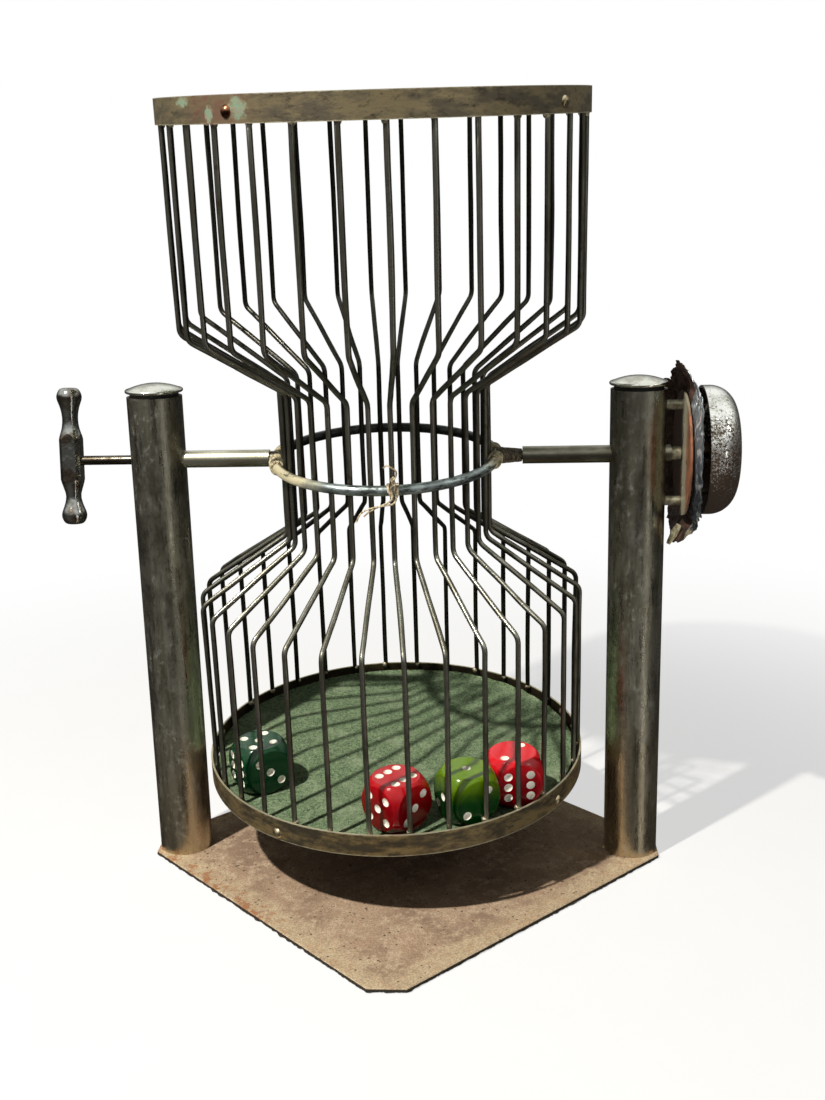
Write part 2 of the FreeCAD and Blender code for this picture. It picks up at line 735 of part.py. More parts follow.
def gong_stud():
    tip = GONG_FACE + GONG_NUT_HEIGHT - 0.8
    rod = cylinder(STUD_R, BRIDGE_TOP - BRIDGE_THICK, tip, X_AXIS)
    collar = cylinder(STUD_COLLAR_R, BRIDGE_TOP, GONG_FACE - GONG_WALL, X_AXIS)
    return in_gong(rod.fuse(collar))


def gong_nut():
    hexagon = [
        Vector(GONG_FACE, *corner)
        for corner in hexagon_corners(GONG_NUT_R)
    ]
    nut = polygon_face(hexagon).extrude(X_AXIS * GONG_NUT_HEIGHT)
    dome_r = 7.2
    ball = Part.makeSphere(dome_r, Vector(GONG_FACE + GONG_NUT_HEIGHT - dome_r, 0, 0))
    nut = nut.common(ball)
    return in_gong(nut.cut(cylinder(STUD_R, 0, GONG_FACE + GONG_NUT_HEIGHT - 0.8, X_AXIS)))


def hexagon_corners(radius):
    angles = [math.radians(60 * k) for k in range(6)]
    return [(radius * math.cos(a), radius * math.sin(a)) for a in angles]


def shaft_collar():
    """Ring on the bell shaft that stops it sliding back."""
    start = POST_R + BELL_BEARING_OUT + COLLAR_GAP
    return in_bell(tube(COLLAR_R, SHAFT_R, start, DISC_BACK - COLLAR_GAP, X_AXIS))


def striker_cam():
    """Four-lobed cam; a gap between lobes faces the hammer's tail at rest."""
    tail_y, tail_z = HAMMER_TAIL_AT
    tail_angle = math.atan2(tail_z, tail_y)
    corners = []
    for k in range(2 * CAM_LOBES):
        angle = tail_angle + k * math.pi / CAM_LOBES
        radius = CAM_POINT_R if k % 2 else CAM_ROOT_R
        corners.append(Vector(CAM_BACK, radius * math.cos(angle), radius * math.sin(angle)))
    star = polygon_face(corners).extrude(X_AXIS * CAM_THICK)
    star = star.common(cylinder(CAM_TIP_R, CAM_BACK, CAM_BACK + CAM_THICK, X_AXIS))
    return in_bell(star.cut(cylinder(SHAFT_R, 0, BRIDGE_TOP, X_AXIS)))


# --- Hammer ------------------------------------------------------------------------
def at_bell(point):
    return Vector(0, point[0], point[1])


def link(start, end, half_width, back, thickness):
    """A flat bar with round ends between two points of the gong's plane."""
    a, b = at_bell(start), at_bell(end)
    along = (b - a).normalize()
    across = X_AXIS.cross(along) * half_width
    lift = X_AXIS * back
    plate = polygon_face([a + across + lift, b + across + lift, b - across + lift,
                          a - across + lift]).extrude(X_AXIS * thickness)
    ends = [cylinder(half_width, back, back + thickness, X_AXIS, p) for p in (a, b)]
    return plate.multiFuse(ends)


def hammer_arm():
    arms = [
        link(HAMMER_PIVOT, HAMMER_HEAD_AT, HAMMER_ARM_HALF, HAMMER_BACK, HAMMER_THICK),
        link(HAMMER_PIVOT, HAMMER_TAIL_AT, HAMMER_ARM_HALF, HAMMER_BACK, HAMMER_THICK),
    ]
    pivot = at_bell(HAMMER_PIVOT)
    boss = cylinder(PIVOT_BOSS_R, HAMMER_BACK, HAMMER_BACK + HAMMER_THICK + 0.6, X_AXIS, pivot)
    arm = arms[0].multiFuse([arms[1], boss]).removeSplitter()
    arm = arm.cut(cylinder(PIVOT_R + RUNNING_CLEARANCE, 0, BRIDGE_TOP, X_AXIS, pivot))
    rivet_hole = cylinder(HAMMER_ARM_HALF / 2, 0, BRIDGE_TOP, X_AXIS, at_bell(HAMMER_HEAD_AT))
    return in_bell(arm.cut(rivet_hole))


def hammer_head():
    """Turned weight riveted to the arm's end."""
    at = at_bell(HAMMER_HEAD_AT)
    start = HAMMER_BACK + HAMMER_THICK
    weight = cylinder(HAMMER_HEAD_R, start, start + HAMMER_HEAD_LENGTH, X_AXIS, at)
    rims = [e for e in weight.Edges if e.BoundBox.XLength < 0.01]
    weight = weight.makeFillet(1.0, rims)
    rivet = cylinder(HAMMER_ARM_HALF / 2, HAMMER_BACK, start + 1, X_AXIS, at)
    return in_bell(weight.fuse(rivet).removeSplitter())


def hammer_pivot_pin():
    at = at_bell(HAMMER_PIVOT)
    arm_top = HAMMER_BACK + HAMMER_THICK + 0.6
    pin = cylinder(PIVOT_R, DISC_BACK, arm_top + 0.3, X_AXIS, at)
    head = cylinder(PIVOT_HEAD_R, arm_top + 0.3, arm_top + 1.5, X_AXIS, at)
    shoulder = cylinder(PIVOT_R + 0.5, GUARD_BACK + GUARD_THICK, HAMMER_BACK - 0.2, X_AXIS, at)
    return in_bell(pin.multiFuse([head, shoulder]).removeSplitter())


def hammer_spring():
    """Torsion coil round the pivot pin, with two straight legs."""
    pitch = SPRING_LENGTH / SPRING_TURNS
    coil = Part.makeHelix(pitch, SPRING_LENGTH, SPRING_R)
    climb = pitch / (2 * math.pi * SPRING_R)
    start = Vector(SPRING_R, 0, 0)
    start_way = Vector(0, 1, climb).normalize()
    end = Vector(SPRING_R, 0, SPRING_LENGTH)
    legs = [
        Part.makeLine(start - start_way * SPRING_LEG, start),
        Part.makeLine(end, end + start_way * SPRING_LEG),
    ]
    path = Part.Wire([legs[0]] + list(coil.Edges) + [legs[1]])
    foot = start - start_way * SPRING_LEG
    section = Part.Wire(Part.makeCircle(SPRING_WIRE_R, foot, start_way))
    spring = path.makePipeShell([section], True, True)
    # Drawn on +Z, the coil is laid along the pin and set behind the arm.
    laid = turned(spring, 90, Y_AXIS)
    y, z = HAMMER_PIVOT
    return in_bell(moved(laid, Vector(SPRING_BACK, y, z)))


# --- Dice ----------------------------------------------------------------------------
PIP_SPOTS = {
    1: [(0, 0)],
    2: [(-1, 1), (1, -1)],
    3: [(-1, 1), (0, 0), (1, -1)],
    4: [(-1, -1), (-1, 1), (1, -1), (1, 1)],
    5: [(-1, -1), (-1, 1), (0, 0), (1, -1), (1, 1)],
    6: [(-1, -1), (-1, 0), (-1, 1), (1, -1), (1, 0), (1, 1)],
}

# name: top, front and right faces, the faces whose diagonal runs the other way, turn
# about the cage axis in degrees from the front, then distances to the right and to the
# front from the cage axis
DICE = {
    "die_green_left": (5, 3, 1, (), 34.0, -83.9, 56.2),
    "die_red_front": (6, 5, 3, (3,), -42.0, 7.6, 101.9),
    "die_green_right": (1, 2, 4, (2, 3), 26.5, 49.9, 92.2),
    "die_red_right": (2, 6, 4, (2,), 14.0, 78.6, 70.9),
}


def pips(value, outward, across, mirror):
    """Ball cutters for one face; outward and across are unit vectors, mirror is 1 or -1."""
    up = outward.cross(across)
    sunk = DIE_HALF + math.sqrt(PIP_BALL_R ** 2 - PIP_MOUTH_R ** 2)
    cutters = []
    for column, row in PIP_SPOTS[value]:
        spot = outward * sunk + across * (mirror * column * PIP_STEP) + up * (row * PIP_STEP)
        cutters.append(Part.makeSphere(PIP_BALL_R, spot))
    return cutters


def die(top, front, right, mirrored, turn, to_right, to_front):
    corner = Vector(-DIE_HALF, -DIE_HALF, -DIE_HALF)
    cube = Part.makeBox(DIE_SIZE, DIE_SIZE, DIE_SIZE, corner)
    body = cube.common(Part.makeSphere(DIE_BALL_R))
    rims = [e for e in body.Edges if e.Curve.TypeId == "Part::GeomCircle" and e.Length > DIE_SIZE]
    body = body.makeFillet(DIE_EDGE_R, rims)
    faces = [
        (top, Z_AXIS, X_AXIS),
        (7 - top, Z_AXIS * -1, X_AXIS),
        (front, Y_AXIS * -1, X_AXIS),
        (7 - front, Y_AXIS, X_AXIS),
        (right, X_AXIS, Y_AXIS),
        (7 - right, X_AXIS * -1, Y_AXIS),
    ]
    for value, outward, across in faces:
        mirror = -1 if value in mirrored else 1
        for cutter in pips(value, outward, across, mirror):
            body = body.cut(cutter)
    floor = felt_span(-1)[1] + DIE_HALF + DIE_FLOAT
    placed = turned(body, turn)
    placed.translate(Vector(to_right, -to_front, floor))
    return in_cage(placed)


# --- Everything ------------------------------------------------------------------------
def build():
    nodes = {
        "base_pad": base_pad(),
        "base_plate": base_plate(),
        "post_foot_screws": Part.makeCompound([foot_screw(-1), foot_screw(1)]),
        "cage_bars": cage_bars(),
        "waist_ring": waist_ring(),
        "ring_bindings": ring_bindings(),
        "ring_tie_wire": ring_tie_wire(),
        "left_shaft": left_shaft(),
        "right_shaft": right_shaft(),
        "t_handle": t_handle(),
        "handle_grub_screw": handle_grub_screw(),
        "bell_screws": bell_screws(),
        "bell_spacers": bell_spacers(),
        "bell_base_disc": bell_base_disc(),
        "bell_guard_plate": bell_guard_plate(),
        "bell_bridge": bell_bridge(),
        "gong": gong(),
        "gong_stud": gong_stud(),
        "gong_nut": gong_nut(),
        "shaft_collar": shaft_collar(),
        "striker_cam": striker_cam(),
        "hammer_arm": hammer_arm(),
        "hammer_head": hammer_head(),
        "hammer_pivot_pin": hammer_pivot_pin(),
        "hammer_spring": hammer_spring(),
    }
    for word, side in (("left", -1), ("right", 1)):
        nodes[word + "_post"] = post(side)
        nodes[word + "_foot_plug"] = foot_plug(side)
        nodes[word + "_post_cap"] = post_cap(side)
        nodes[word + "_bearing_tube"] = bearing_tube(side)
    for word, end in (("top", 1), ("bottom", -1)):
        nodes[word + "_band"] = band(end)
        nodes[word + "_disc"] = end_disc(end)
        nodes[word + "_felt"] = end_felt(end)
        nodes[word + "_band_screws"] = in_cage(Part.makeCompound(band_screws(end)))
    for name, settings in DICE.items():
        nodes[name] = die(*settings)
    return nodes


os.makedirs("parts", exist_ok=True)
for node_name, node_shape in build().items():
    node_shape.exportStep("parts/" + node_name + ".step")
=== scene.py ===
"""Looks of the turning dice cage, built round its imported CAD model.

The CAD pieces keep their shapes and get procedural materials. The hand-bent bars, the felts,
the wire windings and the crumpled guard behind the gong are built here and stand for their
plain CAD solids. Lengths are in metres unless a name or a comment says millimetres.
"""
import json
import math
import random

import bmesh
import bpy
from mathutils import Matrix, Vector, noise


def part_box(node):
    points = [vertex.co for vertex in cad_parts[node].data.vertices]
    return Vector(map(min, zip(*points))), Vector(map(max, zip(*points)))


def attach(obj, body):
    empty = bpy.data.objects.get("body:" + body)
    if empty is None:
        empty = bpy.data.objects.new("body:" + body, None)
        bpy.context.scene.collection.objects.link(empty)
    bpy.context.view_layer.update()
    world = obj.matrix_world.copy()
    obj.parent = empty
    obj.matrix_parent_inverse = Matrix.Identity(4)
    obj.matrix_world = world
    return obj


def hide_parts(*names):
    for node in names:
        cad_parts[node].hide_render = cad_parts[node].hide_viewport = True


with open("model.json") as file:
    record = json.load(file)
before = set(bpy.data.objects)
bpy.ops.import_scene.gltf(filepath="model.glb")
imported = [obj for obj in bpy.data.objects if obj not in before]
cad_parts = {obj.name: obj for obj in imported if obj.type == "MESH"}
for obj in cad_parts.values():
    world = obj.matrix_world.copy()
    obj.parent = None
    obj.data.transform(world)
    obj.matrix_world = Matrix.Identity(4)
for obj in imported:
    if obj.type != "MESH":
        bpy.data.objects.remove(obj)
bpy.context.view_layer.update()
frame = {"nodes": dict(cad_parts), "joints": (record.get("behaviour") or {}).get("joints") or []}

MM = 0.001
NODES = frame["nodes"]
X_AXIS = Vector((1, 0, 0))


# --- Places taken from the frame -------------------------------------------------------
def joint_axis(name):
    return Vector(next(j["axis"] for j in frame["joints"] if j["name"] == name))


def box_middle(node):
    low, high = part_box(node)
    return (low + high) / 2


def cage_frame():
    """Matrix from the cage's own frame, its axis on Z and -Y to the front, to the row frame."""
    up = joint_axis("lift_red_front")
    turn = Matrix((X_AXIS, up.cross(X_AXIS), up)).transposed().to_4x4()
    return Matrix.Translation(box_middle("waist_ring")) @ turn


CAGE = cage_frame()
TO_CAGE = CAGE.inverted()
AXLE_Z = box_middle("waist_ring").z
RIGHT_POST_X = box_middle("right_post").x


def cage_box(node):
    """Lowest and highest corners of a cage node in the cage's own frame."""
    points = [TO_CAGE @ v.co for v in NODES[node].data.vertices]
    low = Vector(min(p[k] for p in points) for k in range(3))
    high = Vector(max(p[k] for p in points) for k in range(3))
    return low, high


def ring_frame():
    """Matrix from the ring's own frame, which leans about X in the cage, to the row frame."""
    points = [TO_CAGE @ v.co for v in NODES["waist_ring"].data.vertices]
    slope = sum(p.y * p.z for p in points) / sum(p.y ** 2 for p in points)
    return CAGE @ Matrix.Rotation(math.atan(slope), 4, "X")


RING = ring_frame()
RING_POINTS = [RING.inverted() @ v.co for v in NODES["waist_ring"].data.vertices]
RING_WIRE_R = max(p.z for p in RING_POINTS)
RING_R = max(p.x for p in RING_POINTS) - RING_WIRE_R


def polar(radius, degrees, height):
    """A point in the cage's frame, at an angle from the front that grows towards the bell."""
    angle = math.radians(degrees)
    return Vector((radius * math.sin(angle), -radius * math.cos(angle), height))


def bar_angles():
    """The bars' angles round the cage, read off their straight waists."""
    half_waist, gap_degrees = 60 * MM, 4
    angles = []
    for v in NODES["cage_bars"].data.vertices:
        p = TO_CAGE @ v.co
        if abs(p.z) < half_waist and math.hypot(p.x, p.y) < RING_R:
            angles.append(math.degrees(math.atan2(p.x, -p.y)))
    angles.sort()
    groups = [[angles[0]]]
    for before, angle in zip(angles, angles[1:]):
        if angle - before > gap_degrees:
            groups.append([])
        groups[-1].append(angle)
    return [sum(group) / len(group) for group in groups]


# --- Material builder ------------------------------------------------------------------
def rgb(red, green, blue):
    """Linear colour from screen values of 0 to 255."""
    def linear(value):
        value /= 255
        return value / 12.92 if value <= 0.04045 else ((value + 0.055) / 1.055) ** 2.4
    return linear(red), linear(green), linear(blue), 1.0


class Wiring:
    """Short names for the shader nodes that the looks below are made of."""

    def __init__(self, tree):
        self.tree = tree
        tree.nodes.clear()

    def plug(self, socket, value):
        if isinstance(value, bpy.types.NodeSocket):
            self.tree.links.new(value, socket)
        else:
            socket.default_value = value

    def node(self, kind, *values, **settings):
        """A shader node whose first inputs take values in order; None leaves one alone."""
        made = self.tree.nodes.new("ShaderNode" + kind)
        for key, value in settings.items():
            setattr(made, key, value)
        for socket, value in zip(made.inputs, values):
            if value is not None:
                self.plug(socket, value)
        return made

    def math(self, operation, *values):
        return self.node("Math", *values, operation=operation).outputs[0]

    def add(self, first, second):
        return self.math("ADD", first, second)

    def times(self, first, second):
        return self.math("MULTIPLY", first, second)

    def step(self, value, low, high, start=0.0, end=1.0):
        """Eases from start to end as value goes from low to high."""
        return self.node(
            "MapRange", value, low, high, start, end, interpolation_type="SMOOTHSTEP"
        ).outputs[0]

    def mix(self, factor, first, second, blend="MIX"):
        made = self.node("Mix", data_type="RGBA", blend_type=blend)
        self.plug(made.inputs[0], factor)
        self.plug(made.inputs[6], first)
        self.plug(made.inputs[7], second)
        return made.outputs[2]

    def split(self, vector):
        return self.node("SeparateXYZ", vector).outputs


class Look(Wiring):
    """One procedural material, drawn in millimetres of the object's own coordinates."""

    def __init__(self, name):
        self.material = bpy.data.materials.new(name)
        self.material.use_nodes = True
        super().__init__(self.material.node_tree)
        place = self.node("TexCoord").outputs["Object"]
        self.place = self.vector("MULTIPLY", place, (1 / MM,) * 3)

    def vector(self, operation, *values):
        return self.node("VectorMath", *values, operation=operation).outputs["Vector"]

    def noise(self, size, detail=3.0, rough=0.55, stretch=(1, 1, 1), twist=0.0):
        """Cloudy noise of about 0.3 to 0.7 whose lumps are size millimetres across."""
        place = self.vector("MULTIPLY", self.place, tuple(s / size for s in stretch))
        made = self.node("TexNoise")
        for key, value in (("Vector", place), ("Scale", 1.0), ("Detail", detail),
                           ("Roughness", rough), ("Distortion", twist)):
            self.plug(made.inputs[key], value)
        return made.outputs["Fac"]

    def cells(self, size, stretch=(1, 1, 1)):
        """Distance to the nearest of scattered points, in parts of size."""
        place = self.vector("MULTIPLY", self.place, tuple(s / size for s in stretch))
        made = self.node("TexVoronoi", place)
        self.plug(made.inputs["Scale"], 1.0)
        return made.outputs["Distance"]

    def along(self, direction, origin):
        """Millimetres from origin along a direction of the row frame."""
        away = self.vector("SUBTRACT", self.place, tuple(Vector(origin) / MM))
        return self.node("VectorMath", away, tuple(direction), operation="DOT_PRODUCT").outputs["Value"]

    def cage_axes(self):
        """Millimetres to the right, to the back and up, in the cage's own frame."""
        origin = CAGE.to_translation()
        return [self.along(CAGE.col[k].xyz, origin) for k in range(3)]

    def angle(self, across, back):
        """Degrees from the front, growing towards the bell."""
        radians = self.math("ARCTAN2", across, self.times(back, -1.0))
        return self.math("DEGREES", radians)

    def inner_face_shade(self):
        """0 on faces that look out from the cage's axis, 1 on faces that look towards it; the mask for
        painted shade on the inner faces.
        """
        across, back, _ = self.cage_axes()
        facing = self.node("TexCoord").outputs["Normal"]

        def part(direction):
            made = self.node("VectorMath", facing, tuple(direction), operation="DOT_PRODUCT")
            return made.outputs["Value"]

        outward = self.add(self.times(part(CAGE.col[0].xyz), across),
                           self.times(part(CAGE.col[1].xyz), back))
        return self.step(outward, -25.0, 15.0, 1.0, 0.0)

    def bump(self, height, depth, under=None):
        made = self.node("Bump")
        self.plug(made.inputs["Distance"], depth * MM)
        self.plug(made.inputs["Height"], height)
        if under is not None:
            self.plug(made.inputs["Normal"], under)
        return made.outputs["Normal"]

    def finish(self, colour, normal, **inputs):
        """Ends the material in one surface; Coat_Weight stands for the input Coat Weight."""
        shader = self.node("BsdfPrincipled")
        self.plug(shader.inputs["Base Color"], colour)
        self.plug(shader.inputs["Normal"], normal)
        for key, value in inputs.items():
            self.plug(shader.inputs[key.replace("_", " ")], value)
        self.node("OutputMaterial", shader.outputs[0])
        return self.material


def clouded(name, light, dark, clouds, ends=(0.4, 0.62), relief=0.15, **surface):
    """A simple material: clouds, given as noise arguments, of a dark colour on a light one."""
    look = Look(name)
    field = look.noise(**clouds)
    colour = look.mix(look.step(field, *ends), light, dark)
    return look.finish(colour, look.bump(field, relief), **surface)


# --- Metals ----------------------------------------------------------------------------
def post_nickel():
    """Old nickel plate on the posts: grey-green tarnish, darker above, browner at the foot."""
    look = Look("post_nickel")
    streaks = look.noise(6, 4, 0.6, stretch=(1, 1, 0.07))
    clouds = look.noise(26, 6, 0.62, stretch=(1, 1, 0.5))
    mottle = look.noise(5, 7, 0.78, stretch=(1, 1, 0.8))
    height = look.along((0, 0, 1), (0, 0, 0))
    foot = look.step(look.add(height, look.times(clouds, 120.0)), 90, 190, 1.0, 0.0)
    bloom = look.times(look.step(mottle, 0.5, 0.64), look.step(clouds, 0.46, 0.58))
    spots = look.step(look.noise(1.6, 3, 0.7), 0.62, 0.7)
    stains = look.times(look.step(mottle, 0.56, 0.42), look.step(clouds, 0.56, 0.44))
    colour = look.mix(look.step(streaks, 0.38, 0.64), rgb(204, 202, 188), rgb(160, 157, 140))
    colour = look.mix(look.step(clouds, 0.5, 0.7, 0.0, 0.7), colour, rgb(140, 134, 114))
    colour = look.mix(look.times(stains, 0.5), colour, rgb(92, 89, 78))
    upper = look.step(look.add(height, look.times(clouds, 90.0)), 190, 320)
    colour = look.mix(look.times(upper, 0.5), colour, rgb(120, 116, 104))
    colour = look.mix(look.times(foot, 0.7), colour, rgb(196, 182, 156))
    colour = look.mix(look.times(bloom, 0.35), colour, rgb(206, 208, 206))
    colour = look.mix(look.times(spots, 0.7), colour, rgb(70, 64, 56))
    polish = look.step(look.noise(4.0, 5, 0.7, stretch=(1, 1, 0.12)), 0.5, 0.62)
    rough = look.add(look.step(clouds, 0.35, 0.65, 0.28, 0.42), look.times(bloom, 0.16))
    rough = look.add(rough, look.times(polish, -0.14))
    normal = look.bump(look.add(streaks, look.times(mottle, 0.8)), 0.2)
    return look.finish(colour, normal, Metallic=1.0, Roughness=rough)


def cap_nickel():
    """Cleaner nickel on the pressed caps, worn pale, with faint brushed scratches; painted shade blackens
    the neck groove under the bead.
    """
    look = Look("cap_nickel")
    clouds = look.noise(11, 5, 0.6)
    scratches = look.noise(1.2, 2, stretch=(0.15, 1, 1))
    colour = look.mix(look.step(clouds, 0.42, 0.62), rgb(238, 238, 230), rgb(192, 190, 178))
    rough = look.step(clouds, 0.3, 0.7, 0.12, 0.28)
    post_top = (0, 0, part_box("left_post")[1].z)
    # painted shade: the neck groove under the bead is coloured near black, dull and not metallic
    groove_painted_shade = look.step(look.along((0, 0, 1), post_top), 2.3, 2.6, 1.0, 0.0)
    colour = look.mix(groove_painted_shade, colour, rgb(24, 22, 18))
    rough = look.add(rough, look.times(groove_painted_shade, 0.5))
    metal = look.math("SUBTRACT", 1.0, groove_painted_shade)
    normal = look.bump(look.add(scratches, look.times(clouds, 3.0)), 0.05)
    return look.finish(colour, normal, Metallic=metal, Roughness=rough)


def tube_nickel(name, light, dark):
    """Satin plate on the bearing tubes, yellowed and lightly scratched."""
    look = Look(name)
    clouds = look.noise(14, 5, 0.6, stretch=(0.4, 1, 1))
    rings = look.noise(1.3, 2, stretch=(1, 0.15, 0.15))
    colour = look.mix(look.step(clouds, 0.4, 0.65), light, dark)
    rough = look.step(clouds, 0.3, 0.7, 0.24, 0.4)
    normal = look.bump(look.add(rings, clouds), 0.05)
    return look.finish(colour, normal, Metallic=1.0, Roughness=rough)


def shaft_steel():
    """Bare steel shaft gone brown, polished where it runs."""
    look = Look("shaft_steel")
    clouds = look.noise(9, 5, 0.65, stretch=(0.5, 1, 1))
    colour = look.mix(look.step(clouds, 0.4, 0.62), rgb(104, 100, 90), rgb(58, 52, 43))
    rough = look.step(clouds, 0.35, 0.65, 0.18, 0.4)
    return look.finish(colour, look.bump(clouds, 0.15), Metallic=1.0, Roughness=rough)


def handle_nickel():
    """Polished handle with patches of dark tarnish, dark specks and small dents."""
    look = Look("handle_nickel")
    clouds = look.noise(10, 5, 0.6)
    dents = look.noise(5, 2)
    specks = look.step(look.noise(0.9, 2), 0.64, 0.74)
    colour = look.mix(look.step(clouds, 0.44, 0.66), rgb(176, 178, 176), rgb(124, 110, 96))
    colour = look.mix(specks, colour, rgb(66, 60, 52))
    rough = look.step(clouds, 0.35, 0.7, 0.06, 0.18)
    return look.finish(colour, look.bump(dents, 0.35), Metallic=1.0, Roughness=rough)


def bar_steel():
    """Oxidised wire of the cage: olive grey, with painted shade that makes its inner faces nearly black.
    """
    look = Look("bar_steel")
    patches = look.noise(28, 5, 0.62, stretch=(1, 1, 0.5))
    grain = look.noise(1.1, 3)
    colour = look.mix(look.step(patches, 0.42, 0.6), rgb(138, 137, 126), rgb(104, 102, 90))
    colour = look.mix(look.step(look.noise(9, 4), 0.62, 0.72, 0.0, 0.6), colour, rgb(92, 78, 60))
    # painted shade: faces that look into the cage are darkened nearly to black
    colour = look.mix(look.times(look.inner_face_shade(), 0.85), colour, rgb(40, 38, 34))
    rough = look.add(look.step(patches, 0.35, 0.65, 0.24, 0.38), look.times(grain, 0.08))
    normal = look.bump(look.add(grain, look.times(patches, 2.0)), 0.1)
    return look.finish(colour, normal, Metallic=0.95, Roughness=rough)


def ring_zinc():
    """Zinc-coated ring wire: blue grey, scraped, cream towards the shafts, with painted shade darkening
    its inner side.
    """
    look = Look("ring_zinc")
    across, back, _ = look.cage_axes()
    turn = look.angle(across, back)
    scrapes = look.noise(5.5, 6, 0.75, stretch=(0.4, 0.4, 1.6))
    bloom = look.noise(12, 4)
    colour = look.mix(look.step(bloom, 0.4, 0.62), rgb(168, 180, 180), rgb(128, 138, 138))
    worn = look.add(turn, look.times(look.noise(6, 4), 26.0))
    cream = look.times(look.step(worn, -34, -8, 1.0, 0.0), look.step(turn, -100, -96))
    cream = look.add(cream, look.times(look.step(worn, 74, 84), look.step(turn, 96, 100, 1.0, 0.0)))
    colour = look.mix(cream, colour, rgb(206, 196, 160))
    colour = look.mix(look.step(scrapes, 0.5, 0.6, 0.0, 0.85), colour, rgb(46, 46, 42))
    # painted shade: the ring's side that looks into the cage is darkened
    colour = look.mix(look.times(look.inner_face_shade(), 0.9), colour, rgb(34, 33, 30))
    rough = look.step(scrapes, 0.4, 0.65, 0.3, 0.55)
    metal = look.math("SUBTRACT", 0.9, look.times(cream, 0.7))
    normal = look.bump(look.add(scrapes, bloom), 0.25)
    return look.finish(colour, normal, Metallic=metal, Roughness=rough)


def solder():
    """Dull grey-beige solder left where wires meet."""
    return clouded("solder", rgb(186, 176, 150), rgb(104, 94, 76), {"size": 1.5, "detail": 4},
                   relief=0.3, Metallic=0.6, Roughness=0.5)


# Verdigris on the top band: degrees from the front, mm above the band's middle, then
# half its width in degrees and half its height in mm
VERDIGRIS = [(-47.6, 4.2, 3.0, 3.0), (-37.3, -2.0, 1.6, 4.8), (-28.0, 0.5, 3.4, 6.5)]


def band_brass(name, node, light, dark, verdigris):
    """Browned brass strip, rubbed bright at both edges, with painted shade on its inner face; verdigris by
    a screw if asked for.
    """
    look = Look(name)
    low, high = cage_box(node)
    centre, half = (low.z + high.z) / 2 / MM, (high.z - low.z) / 2 / MM
    across, back, up = look.cage_axes()
    clouds = look.noise(16, 7, 0.7, stretch=(0.6, 0.6, 1.8))
    blots = look.noise(5, 6, 0.75, stretch=(0.7, 0.7, 1.4))
    colour = look.mix(look.step(clouds, 0.4, 0.6), light, dark)
    colour = look.mix(look.step(blots, 0.5, 0.68, 0.0, 0.8), colour, rgb(64, 58, 50))
    # painted shade: the band's inner face, looking into the cage, is darkened
    colour = look.mix(look.times(look.inner_face_shade(), 0.8), colour, rgb(44, 39, 30))
    from_edge = look.math("SUBTRACT", half, look.math("ABSOLUTE", look.math("SUBTRACT", up, centre)))
    worn = look.step(look.add(from_edge, look.times(look.noise(3, 3), 1.2)), 0.75, 1.25, 1.0, 0.0)
    colour = look.mix(look.times(worn, 0.8), colour, rgb(206, 198, 168))
    metal, rough = 0.65, look.step(clouds, 0.3, 0.7, 0.32, 0.5)
    if verdigris:
        turn = look.angle(across, back)
        ragged = look.times(look.noise(3.0, 7, 0.8), 4.2)
        near_screw = look.step(look.math("ABSOLUTE", look.add(turn, 35.0)), 2.0, 15.0, 1.0, 0.0)
        pink = look.times(near_screw, look.step(blots, 0.4, 0.6, 0.2, 0.8))
        colour = look.mix(pink, colour, rgb(156, 118, 98))
        green = 0.0
        for spot, level, wide, tall in VERDIGRIS:
            aside = look.times(look.math("SUBTRACT", turn, spot), 1 / wide)
            above = look.times(look.math("SUBTRACT", up, centre + level), 1 / tall)
            away = look.add(look.times(aside, aside), look.times(above, above))
            patch = look.step(look.add(away, ragged), 2.2, 3.1, 1.0, 0.0)
            green = look.math("MAXIMUM", green, patch)
        cover = look.times(green, look.step(blots, 0.4, 0.6, 1.0, 0.45))
        colour = look.mix(cover, colour, rgb(112, 138, 114))
        metal = look.math("SUBTRACT", 0.65, look.times(green, 0.65))
        rough = look.add(rough, look.times(green, 0.4))
    normal = look.bump(look.add(clouds, look.times(blots, 0.6)), 0.3)
    return look.finish(colour, normal, Metallic=metal, Roughness=rough)


def screw_brass(name, browned):
    """Brass of the band screws; if browned, those on the handle's side are dark and coppery."""
    look = Look(name)
    clouds = look.noise(3, 4)
    spots = look.step(clouds, 0.42, 0.6)
    colour = look.mix(spots, rgb(214, 202, 168), rgb(132, 116, 86))
    if browned:
        brown = look.mix(spots, rgb(140, 96, 70), rgb(70, 46, 34))
        right = look.split(look.place)[0]
        colour = look.mix(look.step(right, -10, 10), brown, colour)
    return look.finish(colour, look.bump(clouds, 0.15), Metallic=1.0, Roughness=0.3)


def gong_nickel():
    """Nickel gong: pale above, pitted through to brown rust round the middle and below."""
    look = Look("gong_nickel")
    height = look.along((0, 0, 1), (0, 0, AXLE_Z))
    pits = look.noise(1.3, 5, 0.72)
    clouds = look.noise(12, 4)
    spread = look.add(look.times(height, -0.005), look.times(clouds, 0.3))
    rust = look.step(look.add(pits, spread), 0.55, 0.62)
    colour = look.mix(look.step(clouds, 0.4, 0.6), rgb(252, 253, 250), rgb(218, 218, 212))
    colour = look.mix(rust, colour, rgb(72, 58, 46))
    rough = look.add(0.16, look.times(rust, 0.44))
    metal = look.math("SUBTRACT", 1.0, look.times(rust, 0.5))
    return look.finish(colour, look.bump(rust, -0.15), Metallic=metal, Roughness=rough)


